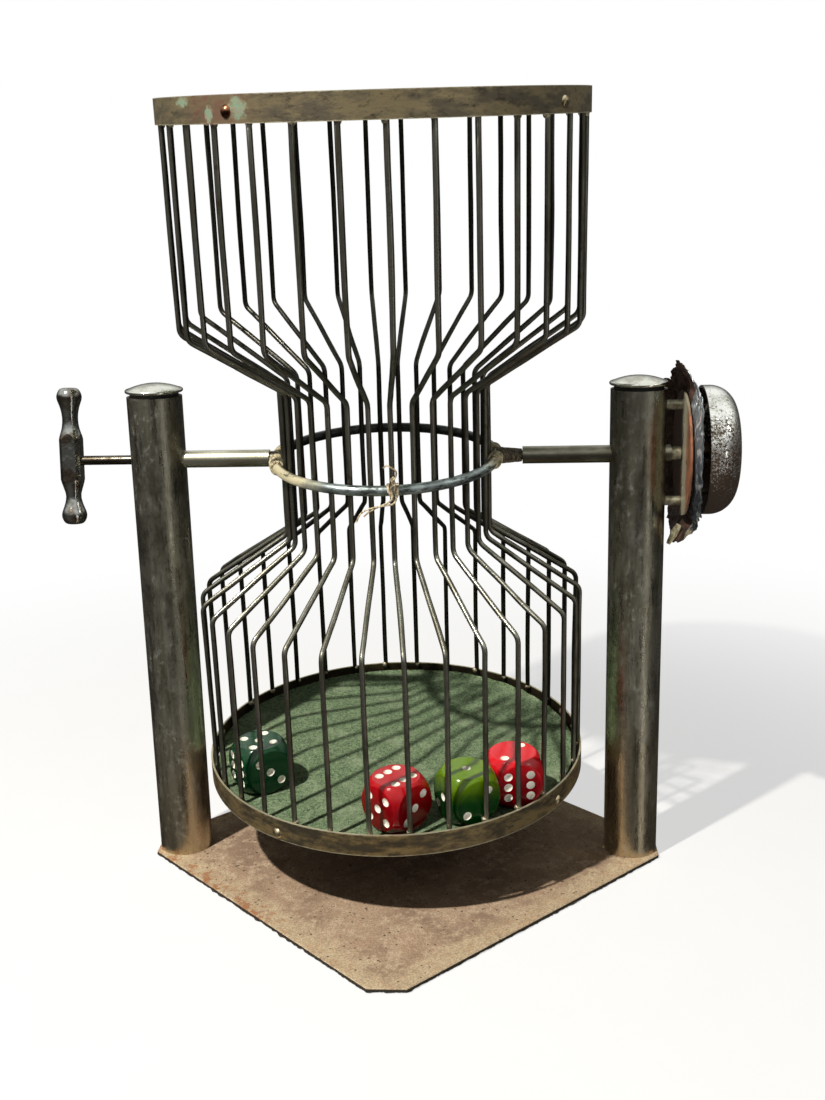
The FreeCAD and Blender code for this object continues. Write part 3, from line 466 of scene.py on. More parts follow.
def copper_disc():
    """Copper-washed disc, pink orange to the front, then beige, rusted brown at the back."""
    look = Look("copper_disc")
    back = look.along((0, 1, 0), (0, 0, 0))
    clouds = look.noise(8, 5, 0.6)
    worn = look.add(back, look.times(clouds, 20.0))
    dull = look.step(worn, -18, -6)
    rusted = look.step(worn, 2, 9)
    colour = look.mix(look.step(clouds, 0.4, 0.6), rgb(170, 112, 82), rgb(132, 88, 64))
    colour = look.mix(dull, colour, rgb(146, 142, 120))
    colour = look.mix(rusted, colour, rgb(62, 42, 30))
    metal = look.step(dull, 0, 1, 0.4, 0.1)
    return look.finish(colour, look.bump(clouds, 0.2), Metallic=metal, Roughness=0.42)


def peg_brass():
    """Dull cream plating on the spacers, the collar and the gong's stud."""
    return clouded("peg_brass", rgb(176, 172, 148), rgb(124, 116, 92), {"size": 4, "detail": 4},
                   Metallic=0.5, Roughness=0.45)


def bell_iron():
    """Blackened works inside the bell."""
    return clouded("bell_iron", rgb(72, 68, 62), rgb(98, 70, 46), {"size": 5, "detail": 5},
                   relief=0.2, Metallic=0.8, Roughness=0.55)


def guard_tin():
    """Tin sheet: grey blue to the front with painted highlights on its creases and painted shade darkening
    it downwards, dark brown painted shade at the back.
    """
    look = Look("guard_tin")
    back = look.along((0, 1, 0), (0, 0, 0))
    height = look.along((0, 0, 1), (0, 0, AXLE_Z))
    clouds = look.noise(7, 5, 0.65)
    creases = look.noise(4.0, 4, 0.6, stretch=(1, 1, 0.35), twist=0.8)
    # painted highlight: near-white streaks along the crease ridges, strongest where the sheet is painted
    # lighter above
    crease_highlight = look.step(creases, 0.52, 0.6)
    shade = look.step(look.add(height, look.times(clouds, 30.0)), -10, 40)
    plain = look.mix(shade, rgb(64, 68, 74), rgb(146, 154, 160))
    colour = look.mix(look.times(crease_highlight, look.step(shade, 0, 1, 0.3, 1.0)), plain, rgb(240, 243, 244))
    # painted shade: the back of the sheet is coloured dark brown and made duller and less metallic
    brown = look.mix(look.step(clouds, 0.42, 0.62), rgb(74, 50, 38), rgb(40, 27, 20))
    back_shade = look.step(look.add(back, look.times(clouds, 8.0)), -15, -9)
    low_tip = look.step(height, -47, -43, 1.0, 0.0)
    colour = look.mix(back_shade, colour, brown)
    metal = look.step(back_shade, 0, 1, 0.7, 0.25)
    rough = look.step(back_shade, 0, 1, 0.28, 0.6)
    colour = look.mix(look.times(low_tip, look.step(back_shade, 0, 1, 1.0, 0.0)), colour, rgb(186, 180, 152))
    normal = look.bump(creases, 1.6, look.bump(clouds, 0.4))
    return look.finish(colour, normal, Metallic=metal, Roughness=rough)


def base_sheet():
    """Base plate: dusty pink-brown steel, sandy towards its edges, with dark pits and rust."""
    look = Look("base_sheet")
    right, back, _ = look.split(look.place)
    reach = look.add(look.math("ABSOLUTE", right), look.math("ABSOLUTE", back))
    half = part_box("base_plate")[1].x / MM
    clouds = look.noise(45, 6, 0.6)
    mottle = look.noise(7, 5, 0.65)
    edge = look.step(look.add(reach, look.times(mottle, 40.0)), half - 4, half + 26)
    colour = look.mix(look.step(clouds, 0.4, 0.62), rgb(190, 162, 135), rgb(158, 132, 110))
    colour = look.mix(look.step(mottle, 0.44, 0.66), colour, rgb(206, 182, 154))
    colour = look.mix(look.times(edge, 0.8), colour, rgb(212, 192, 158))
    left = look.step(look.add(right, look.times(back, -0.4)), -60, 0, 1.0, 0.25)
    rust = look.times(look.step(look.noise(9, 6, 0.7), 0.48, 0.6), look.step(reach, half - 9, half))
    colour = look.mix(look.times(look.times(rust, left), 0.8), colour, rgb(170, 104, 58))
    grain = look.noise(1.1, 3, 0.7)
    colour = look.mix(look.step(grain, 0.38, 0.62, 0.0, 0.5), colour, rgb(116, 98, 84))
    pits = look.step(look.add(look.cells(4.5), look.times(look.noise(9, 3), 0.5)), 0.3, 0.42, 1.0, 0.0)
    colour = look.mix(look.times(pits, 0.8), colour, rgb(74, 58, 46))
    bare = look.step(look.along((0, 0, 1), (0, 0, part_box("base_plate")[1].z)), -0.75, -0.55, 1.0, 0.0)
    colour = look.mix(bare, colour, rgb(58, 54, 46))
    normal = look.bump(look.add(grain, look.times(pits, -1.5)), 0.22)
    return look.finish(colour, normal, Metallic=0.1, Roughness=0.78, Specular_IOR_Level=0.15)


# --- Felt, wood and resin --------------------------------------------------------------
def felt(name, light, dark, worn):
    """Matted wool felt: soft blotches, fine fibres and lint."""
    look = Look(name)
    blotches = look.noise(20, 5, 0.62)
    matting = look.noise(2.0, 6, 0.85, twist=0.8)
    fibres = look.noise(0.9, 3, 0.7, stretch=(1, 0.4, 1), twist=1.5)
    colour = look.mix(look.step(matting, 0.4, 0.6), dark, light)
    colour = look.mix(look.step(blotches, 0.5, 0.68, 0.0, 0.3), colour, worn)
    colour = look.mix(look.step(fibres, 0.52, 0.66, 0.0, 0.7), colour, worn)
    normal = look.bump(look.add(fibres, look.times(matting, 1.4)), 0.5)
    return look.finish(
        colour, normal, Roughness=0.95, Specular_IOR_Level=0.1, Sheen_Weight=0.1, Sheen_Roughness=0.6
    )


def disc_wood():
    """Dark stained end discs with a faint straight grain."""
    grain = {"size": 2.2, "detail": 5, "rough": 0.6, "stretch": (0.06, 1, 1)}
    return clouded("disc_wood", rgb(62, 44, 30), rgb(34, 24, 17), grain,
                   ends=(0.38, 0.62), relief=0.25, Roughness=0.55)


def tie_cord(name, light, dark):
    """Thin wire or cord with darker lay lines."""
    lay = {"size": 1.4, "detail": 4, "rough": 0.6, "stretch": (1, 1, 0.6)}
    return clouded(name, light, dark, lay, ends=(0.4, 0.6), relief=0.3, Metallic=0.1, Roughness=0.6)


def resin(name, top, side, node):
    """Clear coloured resin: painted light turns it from the side colour to a lighter top colour towards
    the top, along a swirled edge.
    """
    look = Look(name)
    low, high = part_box(node)
    height = look.along((0, 0, 1), (0, 0, low.z))
    tall = (high.z - low.z) / MM
    swirl = look.noise(13, 3, twist=1.2)
    # painted light: the top colour brightens the upper part of the die, the side colour shades the rest
    painted_light_rise = look.add(height, look.times(swirl, 8.0))
    colour = look.mix(look.step(painted_light_rise, tall * 0.55, tall * 1.12), side, top)
    scuffs = look.noise(4, 4)
    return look.finish(
        colour, look.bump(scuffs, 0.06), Roughness=look.step(scuffs, 0.35, 0.7, 0.08, 0.24),
        Subsurface_Weight=0.35, Subsurface_Radius=(1.0, 0.35, 0.25), Subsurface_Scale=4 * MM,
        Specular_IOR_Level=0.3, Coat_Weight=0.2, Coat_Roughness=0.06,
    )


def pip_paint():
    look = Look("pip_paint")
    dirt = look.noise(1.2, 4)
    colour = look.mix(look.step(dirt, 0.52, 0.7, 0.0, 0.7), rgb(244, 240, 226), rgb(176, 160, 136))
    return look.finish(colour, look.bump(dirt, 0.08), Roughness=0.5)


# --- Mesh helpers ----------------------------------------------------------------------
def add_piece(name, build, body, material, replaced=()):
    """A smooth-shaded object from a bmesh in the row frame, riding on a body."""
    mesh = bpy.data.meshes.new(name)
    bmesh.ops.recalc_face_normals(build, faces=build.faces)
    build.to_mesh(mesh)
    build.free()
    mesh.polygons.foreach_set("use_smooth", [True] * len(mesh.polygons))
    mesh.set_sharp_from_angle(angle=math.radians(50))
    mesh.materials.append(material)
    piece = bpy.data.objects.new(name, mesh)
    bpy.context.scene.collection.objects.link(piece)
    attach(piece, body)
    if replaced:
        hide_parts(*replaced)


def bridge(build, rows, closed=True):
    """Fills between neighbouring rows of vertices; closed rows are loops."""
    count = len(rows[0])
    for one, two in zip(rows, rows[1:]):
        for k in range(count if closed else count - 1):
            after = (k + 1) % count
            build.faces.new((one[k], one[after], two[after], two[k]))


def add_wire(build, points, radius, sides=9):
    """A round wire with closed ends through the points; radius may vary with its share."""
    thickness = radius if callable(radius) else (lambda share: radius)
    across = None
    rings = []
    last = len(points) - 1
    for k, point in enumerate(points):
        way = (points[min(k + 1, last)] - points[max(k - 1, 0)]).normalized()
        if across is None:
            across = way.orthogonal().normalized()
        across = (across - way * across.dot(way)).normalized()
        other = way.cross(across)
        r = thickness(k / last)
        ring = []
        for side in range(sides):
            turn = 2 * math.pi * side / sides
            ring.append(build.verts.new(point + (across * math.cos(turn) + other * math.sin(turn)) * r))
        rings.append(ring)
    bridge(build, rings)
    build.faces.new(rings[0])
    build.faces.new(rings[-1])


def smooth_path(corners, steps=10):
    """Points of a Catmull-Rom curve through the corners."""
    padded = [corners[0]] + list(corners) + [corners[-1]]
    points = []
    for a, b, c, d in zip(padded, padded[1:], padded[2:], padded[3:]):
        for k in range(steps):
            t = k / steps
            points.append(0.5 * (2 * b + (c - a) * t + (2 * a - 5 * b + 4 * c - d) * t ** 2
                                 + (3 * b - 3 * c + d - a) * t ** 3))
    points.append(corners[-1])
    return points


def ramp(value, low, high):
    """0 at low, 1 at high, straight in between and level beyond; low may be the larger."""
    return min(1.0, max(0.0, (value - low) / (high - low)))


def lumpiness(point, size, seed=0.0):
    """Smooth noise of about -1 to 1 whose lumps are size across."""
    return noise.noise(point / size + Vector((seed, 2 * seed, -seed)))


# --- Cage pieces -----------------------------------------------------------------------
def bent_bars():
    """The 32 bars as bent by hand: the CAD wires, wandering a little off their lines."""
    longest, wander, pitting, pitting_scale = 7 * MM, 0.55 * MM, 0.08 * MM, 5
    build = bmesh.new()
    build.from_mesh(NODES["cage_bars"].data)
    bmesh.ops.remove_doubles(build, verts=build.verts, dist=1e-6)
    while True:
        long_edges = [e for e in build.edges if e.calc_length() > longest]
        if not long_edges:
            break
        bmesh.ops.subdivide_edges(build, edges=long_edges, cuts=1)
    bend_size = (22 * MM, 22 * MM, 55 * MM)
    # plain noise read at a place of its own for each direction, the same on every run
    shifts = [Vector((5.3, 9.7, 2.9)) * k for k in (1, 2, 3)]
    build.normal_update()
    for v in build.verts:
        spot = TO_CAGE @ v.co
        spot = Vector(place / size for place, size in zip(spot, bend_size))
        push = Vector(noise.noise(spot + shift) for shift in shifts) * wander
        v.co += push + v.normal * pitting * noise.noise(spot * pitting_scale)
    add_piece("bent_bars", build, "cage", bar_steel(), ["cage_bars"])


def solder_blobs(rng):
    """A small lump of solder where each bar enters a band."""
    set_in, dent_size, dent_depth = 1.8 * MM, 1.6 * MM, 0.4 * MM
    build = bmesh.new()
    bar_r = cage_box("cage_bars")[1].x
    for node, inner in (("top_band", 0), ("bottom_band", 1)):
        edge = cage_box(node)[inner].z
        for angle in bar_angles():
            size = rng.uniform(1.5, 2.5) * MM
            spot = polar(bar_r - set_in, angle + rng.uniform(-0.5, 0.5), edge)
            grow = Matrix.Diagonal((1, 1, rng.uniform(0.7, 1.2), 1))
            place = CAGE @ Matrix.Translation(spot) @ grow
            made = bmesh.ops.create_icosphere(build, subdivisions=2, radius=size, matrix=place)
            for v in made["verts"]:
                v.co += v.normal * lumpiness(v.co, dent_size) * dent_depth
    add_piece("solder_blobs", build, "cage", solder())


def felt_floor(node, facing, material):
    """A cut felt disc: lightly matted, its edge ragged and lifted against the band."""
    low, high = cage_box(node)
    radius = high.x
    inner, outer = (high.z, low.z) if facing > 0 else (low.z, high.z)
    rings, spokes = 90, 300
    notch, notch_size = 0.8 * MM, 9 * MM
    hollow, hollow_size = 0.28 * MM, 14 * MM
    mat, mat_size = 0.14 * MM, 2.2 * MM
    lift_width, lift_least, lift_extra, lift_waves, lift_size = 3.5 * MM, 0.8 * MM, 1.1 * MM, 3, 12 * MM

    def lumps(spot, size):
        """Smooth noise of about 0 to 1."""
        return 0.5 + 0.5 * lumpiness(spot, size)

    def top(share, angle):
        r = share * (radius - notch * lumps(polar(radius, angle, 0), notch_size))
        flat = polar(r, angle, 0)
        sink = hollow * lumps(flat, hollow_size) + mat * abs(lumpiness(flat, mat_size))
        wave = math.sin(lift_waves * math.radians(angle)) + lumpiness(flat, lift_size, 4.0)
        lift = ramp(r, radius - lift_width, radius) ** 2 * (lift_least + lift_extra * max(0.0, wave))
        return polar(r, angle, inner + facing * (lift - sink))

    build = bmesh.new()
    hub = build.verts.new(CAGE @ top(0, 0))
    grid = []
    for ring in range(1, rings + 1):
        share = ring / rings
        grid.append([build.verts.new(CAGE @ top(share, 360 * k / spokes)) for k in range(spokes)])
    rim = grid[-1]
    under = []
    for vertex in rim:
        spot = TO_CAGE @ vertex.co
        under.append(build.verts.new(CAGE @ Vector((spot.x, spot.y, outer))))
    grid.append(under)
    for k in range(spokes):
        build.faces.new((hub, grid[0][k], grid[0][(k + 1) % spokes]))
    bridge(build, grid)
    build.faces.new(under)
    add_piece(node + "_cut", build, "cage", material, [node])


def ring_helix(start, end, turns, lay, wobble, seed):
    """Points of a wire wound on the ring between two angles.

    lay is its height off the ring; wobble is how many millimetres it strays from that.
    """
    steps_per_turn, stray_turns, sideways = 14, 0.6, 60
    steps = int(turns * steps_per_turn)
    points = []
    for k in range(steps + 1):
        share = k / steps
        turn = 2 * math.pi * turns * share
        jitter = lumpiness(Vector((share * turns, seed, 0)), stray_turns) * wobble
        angle = start + (end - start) * share + jitter * sideways
        reach = RING_WIRE_R + lay + abs(jitter) * MM
        spot = polar(RING_R + reach * math.cos(turn), angle, reach * math.sin(turn))
        points.append(RING @ spot)
    return points


def ring_windings():
    """Cord wound on the ring, to both sides of each shaft."""
    cord_r, wobble = 0.85 * MM, 0.02
    lay = cord_r * 0.8
    shaft_half = 4.6
    build = bmesh.new()
    # the shaft's angle, the side of it, and the winding's length in degrees and in turns
    for shaft, side, length, turns in ((-90, 1, 15.0, 10), (-90, -1, 9.0, 6),
                                       (90, -1, 8.0, 5), (90, 1, 8.0, 5)):
        start = shaft + side * shaft_half
        end = start + side * length
        add_wire(build, ring_helix(start, end, turns, lay, wobble, shaft + side), cord_r)
    add_piece(
        "ring_windings", build, "cage",
        tie_cord("tie_wire", rgb(214, 202, 168), rgb(128, 112, 84)), ["ring_bindings"]
    )


def shaft_windings(rng):
    """Dark wires laid round the right shaft's end like a rope, drawn in towards the tube."""
    build = bmesh.new()
    wire_r, end_gap, length = 0.8 * MM, 0.6, 15.0
    strands, steps, turns = 9, 12, 1.1
    wide, drawn_in, uneven = 5.0, 1.5, 0.12
    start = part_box("right_shaft")[0].x
    for strand in range(strands):
        corners = []
        for k in range(steps):
            share = k / (steps - 1)
            turn = 2 * math.pi * (turns * share + strand / strands)
            reach = (wide - drawn_in * share ** 0.7 + rng.uniform(-uneven, uneven)) * MM
            x = start + (end_gap + length * share) * MM
            corners.append(Vector((x, reach * math.cos(turn), AXLE_Z + reach * math.sin(turn))))
        add_wire(build, smooth_path(corners, 4), wire_r, 8)
    add_piece(
        "shaft_windings", build, "cage",
        tie_cord("twist_wire", rgb(112, 100, 80), rgb(52, 44, 34))
    )


def front_tie():
    """Thin wire tied round the ring at the front bar, with a hook above and a loose tail."""
    near_front = 8
    angle = min(bar_angles(), key=lambda a: abs(a - near_front))
    wire_r, thinning, wobble = 0.62 * MM, 0.25, 0.03
    lay = wire_r * 1.1
    beside, half_length, turns = 1.5, 0.7, 2.3
    build = bmesh.new()
    for side in (-1, 1):
        middle = angle + side * beside
        coil = ring_helix(middle - half_length, middle + half_length, turns, lay, wobble, side)
        add_wire(build, coil, wire_r)
    front = RING_R + RING_WIRE_R + wire_r

    def spot(right, out, up):
        """A point near the front of the ring, in mm from where it meets the bar."""
        return RING @ polar(front + out * MM, angle + math.degrees(right * MM / RING_R), up * MM)

    hook = [spot(0.5, -1, 0), spot(0.6, 0.4, 3.6), spot(-0.8, 0.6, 6.5), spot(1.2, 0.8, 9.5),
            spot(1.6, 0.5, 12.8), spot(-1.2, 0.2, 15.4), spot(-3.6, 0.4, 16.4), spot(-5.4, 0.9, 15.2)]
    twist = [spot(-0.8, -1, 0), spot(-1.4, 0.6, 3.4), spot(1.2, 0.9, 5.6), spot(-1.4, 0.4, 7.6),
             spot(0.2, 0.9, 9.8)]
    tail = [spot(0.8, 0, 0.5), spot(1.2, 0.6, -4), spot(-1.0, 1.0, -6.8), spot(-6, 1.8, -7.4),
            spot(-13, 3.0, -8.6), spot(-18, 4.0, -11.4), spot(-20.4, 4.4, -16.6)]
    second = [spot(-0.6, 0, 0), spot(-1.4, 0.8, -4.2), spot(-5, 1.6, -6.4), spot(-12, 2.6, -9.6),
              spot(-16.6, 3.6, -13.4)]
    for path in (hook, twist, tail, second):
        add_wire(build, smooth_path(path, 8), lambda share: wire_r * (1 - thinning * share), 8)
    add_piece(
        "front_tie", build, "cage",
        tie_cord("front_tie_wire", rgb(222, 208, 172), rgb(140, 118, 88)), ["ring_tie_wire"]
    )


# --- Stand pieces ----------------------------------------------------------------------
def base_outline(inset):
    """Corners of the clipped square base, pulled in by inset."""
    near = 0.6 * MM
    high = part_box("base_plate")[1]
    clip = max(v.co.y for v in NODES["base_plate"].data.vertices if v.co.x > high.x - near)
    half = high.x - inset
    ends = [(half, -clip), (half, clip), (clip, half), (-clip, half)]
    return [Vector((x, y, 0)) for x, y in ends] + [Vector((-x, -y, 0)) for x, y in ends]


def ragged_pad_and_shadow(material):
    """Thin dark felt under the base, torn and compressed along its edge; its dark ragged edge is painted
    shade standing in for the shadow under the base.
    """
    inset, step = 0.4 * MM, 1.2 * MM
    tear, tear_size, fray, fray_size = 1.1, 5 * MM, 0.7, 1.7 * MM
    # share of the height, and how far the edge bulges there in mm
    layers = ((0.0, -0.4), (0.35, 0.4), (0.75, 0.2), (0.98, -0.5))
    low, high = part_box("base_pad")
    corners = base_outline(inset)
    line = []
    for a, b in zip(corners, corners[1:] + corners[:1]):
        count = max(2, int((b - a).length / step))
        line += [a.lerp(b, k / count) for k in range(count)]
    build = bmesh.new()
    loops = []
    for level, bulge in layers:
        loop = []
        for p in line:
            ragged = tear * lumpiness(p, tear_size, level) + fray * lumpiness(p, fray_size, 3 + level)
            out = (ragged + bulge) * MM
            z = low.z + (high.z - low.z) * level
            loop.append(build.verts.new(Vector((p.x, p.y, z)) + p.normalized() * out))
        loops.append(loop)
    bridge(build, loops)
    build.faces.new(loops[0])
    build.faces.new(loops[-1])
    add_piece("ragged_pad_and_shadow", build, "stand", material, ["base_pad"])


GUARD_HUB = Vector((RIGHT_POST_X, 0, AXLE_Z))


def guard_shape():
    """Millimetre places on the plain guard: its flat part, its corners and its back fold."""
    near, half_sheet = 0.1, 0.4
    points = [(v.co - GUARD_HUB) / MM for v in NODES["bell_guard_plate"].data.vertices]
    flat_x = max(p.x for p in points)
    fold_x = min(p.x for p in points)
    tip = max(p.z for p in points)
    on_flat = [p for p in points if p.x > flat_x - near]
    fold_heights = [p.z for p in points if p.x < fold_x + near]
    return {
        "flat_x": flat_x - half_sheet,
        "flat_half": max(p.z for p in on_flat),
        "tip": tip,
        "tip_x": min(p.x for p in points if p.z > tip - near),
        "front": min(p.y for p in points),
        "fold_y": max(p.y for p in on_flat),
        "fold_end": max(p.y for p in points),
        "fold_x": fold_x,
        "fold_top": max(fold_heights),
        "fold_bottom": min(fold_heights),
    }


def crumpled_guard(shape):
    """Thin creased sheet behind the gong: peaks and back edge bent to the post, front cupped."""
    back_run = shape["fold_end"] - shape["fold_y"]
    post_run = shape["flat_x"] - shape["fold_x"]
    fold_length = math.hypot(back_run, post_run)
    start, end = shape["front"], shape["fold_y"] + fold_length
    rows, columns, thick, shaft_gap = 110, 96, 0.5, 6.0
    front_fall, front_round = 26, 1.6
    tear, tear_size, fray, fray_size, edge_only = 1.5, 8.0, 0.7, 2.4, 6
    lean_reach, back_lean = 12, 0.6
    held_r, loose_r, cup_r, cup_end_r = 33, 42, 34, 43
    cup_front, cup_back, cup_depth, set_back = -12, 18, 2.2, 0.8
    crease_size, crease_depth, fine_size, fine_depth = 11, 1.5, 4.0, 0.9

    def edge(s, up):
        """Height of the torn edge at s, the distance along the sheet from the axle back."""
        far = shape["fold_top"] if up > 0 else -shape["fold_bottom"]
        share = min(1.0, abs(s) / shape["fold_y"])
        if s < 0:
            return shape["tip"] - front_fall * share ** front_round
        return shape["tip"] + (far - shape["tip"]) * share

    def ridges(spot, size, seed):
        """Sharp ridges of 1 on a ground that sinks to -1."""
        return 1 - 2 * abs(lumpiness(spot, size, seed))

    def sheet(across, up):
        s = start + (end - start) * across
        ragged = tear * lumpiness(Vector((s, up, 0)), tear_size)
        ragged += fray * lumpiness(Vector((s, up, 3)), fray_size)
        z = up * (edge(s, up) + ragged * abs(up) ** edge_only)
        past_fold = max(0.0, s - shape["fold_y"]) / fold_length
        x = shape["flat_x"] - post_run * past_fold
        y = min(s, shape["fold_y"]) + back_run * past_fold
        lean_from = shape["flat_half"] - lean_reach * ramp(s, 0, 20)
        bend = max(0.0, abs(z) - lean_from) / (shape["tip"] - lean_from)
        x -= (shape["flat_x"] - shape["tip_x"]) * bend * (1 + back_lean * max(0.0, s) / end)
        out = math.hypot(s, z)
        x += cup_depth * ramp(out, cup_r, cup_end_r) * ramp(s, cup_back, cup_front) - set_back
        tall = Vector((0, s * 1.8, z * 0.7))
        creases = ridges(tall, crease_size, 7.0) * crease_depth + ridges(tall, fine_size, 3.0) * fine_depth
        x += ramp(out, held_r, loose_r) * creases
        return GUARD_HUB + Vector((x, y, z)) * MM

    build = bmesh.new()
    grid = [[build.verts.new(sheet(c / columns, 2 * r / rows - 1)) for c in range(columns + 1)]
            for r in range(rows + 1)]
    bridge(build, grid, closed=False)
    near_shaft = [f for f in build.faces
                  if (f.calc_center_median() - GUARD_HUB).yz.length < shaft_gap * MM]
    bmesh.ops.delete(build, geom=near_shaft, context="FACES")
    bmesh.ops.solidify(build, geom=build.faces[:], thickness=thick * MM)
    add_piece("crumpled_guard", build, "stand", guard_tin(), ["bell_guard_plate"])


def folded_tip(shape, material):
    """Small pale flap folded over at the guard's lower corner."""
    bottom = GUARD_HUB + Vector((shape["tip_x"] - 1.5, -3, -shape["tip"])) * MM
    along = Vector((6.5, -1.5, 13.0)) * MM
    wide = Vector((4.2, -4.0, -1.6)) * MM
    steps, ripple, ripple_size, thick = 8, 0.35 * MM, 3 * MM, 0.6 * MM
    build = bmesh.new()
    grid = []
    for r in range(steps + 1):
        row = []
        for c in range(steps + 1):
            u, v = r / steps, c / steps - 0.5
            spot = bottom + along * u + wide * v * (0.4 + 1.6 * u - 1.4 * u * u)
            spot.x += ripple * lumpiness(spot, ripple_size)
            row.append(build.verts.new(spot))
        grid.append(row)
    bridge(build, grid, closed=False)
    bmesh.ops.solidify(build, geom=build.faces[:], thickness=thick)
    add_piece("guard_flap", build, "stand", material)


# --- Dice ------------------------------------------------------------------------------
def die_axes(node):
    """Unit normals of a die's three pairs of flat faces, from its largest facets."""
    square_on, same_way = 0.1, 0.9999
    faces = sorted(NODES[node].data.polygons, key=lambda p: p.area, reverse=True)
    axes = []
    for face in faces:
        if all(abs(face.normal.dot(a)) < square_on for a in axes):
            alike = [p for p in faces if p.normal.dot(face.normal) > same_way]
            axes.append(sum((p.normal * p.area for p in alike), Vector()).normalized())
        if len(axes) == 3:
            return axes


def paint_die(node, resin_look, pip_look):
    """Resin on the die's body, white paint in its hollow pips."""
    mesh = NODES[node].data
    mesh.materials.clear()
    mesh.materials.append(resin_look)
    mesh.materials.append(pip_look)
    axes = die_axes(node)
    points = [v.co for v in mesh.vertices]
    centre = sum(points, Vector()) / len(points)
    for axis in axes:
        spans = [(p - centre).dot(axis) for p in points]
        centre += axis * 0.5 * (max(spans) + min(spans))
    half = max((p - centre).dot(axes[0]) for p in points)
    pip_zone, on_face = 12.95 * MM, 0.02 * MM
    for p in mesh.polygons:
        away = p.center - centre
        parts = [abs(away.dot(a)) for a in axes]
        out = max(parts)
        spread = math.sqrt(max(0.0, away.length_squared - out ** 2))
        p.material_index = int(spread < pip_zone and half - out > on_face)


# --- Dress everything ------------------------------------------------------------------
def dress(material, *nodes):
    for node in nodes:
        NODES[node].data.materials.clear()
        NODES[node].data.materials.append(material)


def dress_frame():
    """Gives every CAD node that stays visible its material."""
    dress(base_sheet(), "base_plate")
    dress(post_nickel(), "left_post", "right_post")
    dress(cap_nickel(), "left_post_cap", "right_post_cap")
    dress(tube_nickel("left_tube", rgb(218, 216, 200), rgb(168, 164, 144)), "left_bearing_tube")
    # painted shade: the right tube gets darker copies of the left tube's colours
    dress(tube_nickel("right_tube_painted_shade", rgb(150, 148, 134), rgb(112, 108, 94)), "right_bearing_tube")
    dress(shaft_steel(), "left_shaft", "right_shaft", "post_foot_screws", "handle_grub_screw")
    dress(handle_nickel(), "t_handle")
    dress(ring_zinc(), "waist_ring")
    top_brass = band_brass("top_brass", "top_band", rgb(150, 136, 104), rgb(104, 96, 80), True)
    low_brass = band_brass("low_brass", "bottom_band", rgb(146, 126, 86), rgb(78, 70, 55), False)
    dress(top_brass, "top_band")
    dress(low_brass, "bottom_band")
    dress(screw_brass("top_screws", True), "top_band_screws")
    dress(screw_brass("low_screws", False), "bottom_band_screws")
    dress(disc_wood(), "top_disc", "bottom_disc", "left_foot_plug", "right_foot_plug")
    dress(gong_nickel(), "gong", "gong_nut")
    dress(copper_disc(), "bell_base_disc")
    dress(peg_brass(), "bell_spacers", "shaft_collar", "gong_stud")
    dress(bell_iron(), "bell_screws", "bell_bridge", "hammer_pivot_pin", "hammer_spring",
          "hammer_arm", "hammer_head", "striker_cam")
    pips = pip_paint()
    # painted light and shade: each die gets a lit top colour and a darker shaded side colour
    for node, top, side in (
        ("die_green_left", rgb(8, 58, 30), rgb(2, 50, 24)),
        ("die_red_front", rgb(176, 12, 22), rgb(112, 0, 8)),
        ("die_green_right", rgb(96, 128, 0), rgb(2, 48, 6)),
        ("die_red_right", rgb(214, 20, 34), rgb(120, 0, 10)),
    ):
        paint_die(node, resin("resin_" + node, top, side, node), pips)


# --- Light, floor and camera -----------------------------------------------------------
def studio_world():
    """White to the camera; plain soft fill for surfaces; a dim room in reflections."""
    ceiling_light, streak_light, low_light, room_light, fill_light = 0.95, 1.5, 0.07, 0.045, 0.012
    world = bpy.data.worlds.new("studio")
    world.use_nodes = True
    bpy.context.scene.world = world
    w = Wiring(world.node_tree)
    way = w.node("TexCoord").outputs["Generated"]
    x, y, z = w.split(way)
    azimuth = w.math("DEGREES", w.math("ARCTAN2", x, w.times(y, -1.0)))

    def panel(centre, reach):
        """1 at an azimuth, easing to 0 reach degrees to each side."""
        away = w.math("ABSOLUTE", w.math("SUBTRACT", azimuth, centre))
        return w.step(away, 0.0, reach, 1.0, 0.0)

    ceiling = w.step(z, 0.05, 0.6)
    low_glow = w.times(panel(-30.0, 70.0), low_light)
    streak = w.times(panel(43.0, 8.0), streak_light)
    side = w.add(w.add(low_glow, streak), room_light)
    side = w.times(side, w.step(z, 0.1, 0.3, 1.0, 0.0))
    light = w.add(side, w.times(ceiling, ceiling_light))
    room = w.mix(w.step(z, -0.3, 0.3), rgb(255, 248, 234), rgb(250, 251, 246))
    seen = w.node("LightPath").outputs
    reflected = w.node("Background", room, light).outputs[0]
    fill = w.node("Background", rgb(255, 253, 248), fill_light).outputs[0]
    white = w.node("Background", (1, 1, 1, 1), 1.0).outputs[0]
    inner = w.node("MixShader", seen["Is Diffuse Ray"], reflected, fill).outputs[0]
    outer = w.node("MixShader", seen["Is Camera Ray"], inner, white).outputs[0]
    w.node("OutputWorld", outer)


def add_light(name, toward, distance, size, power, colour):
    """A round light that shines on the cage from a direction; the smaller, the harder."""
    data = bpy.data.lights.new(name, "AREA")
    data.shape = "DISK"
    data.size = size
    data.energy = power
    data.color = colour
    light = bpy.data.objects.new(name, data)
    bpy.context.scene.collection.objects.link(light)
    aim = Vector((0, 0, AXLE_Z * 0.5))
    away = Vector(toward).normalized()
    light.location = aim + away * distance
    light.rotation_euler = away.to_track_quat("Z", "Y").to_euler()
    light.visible_camera = False


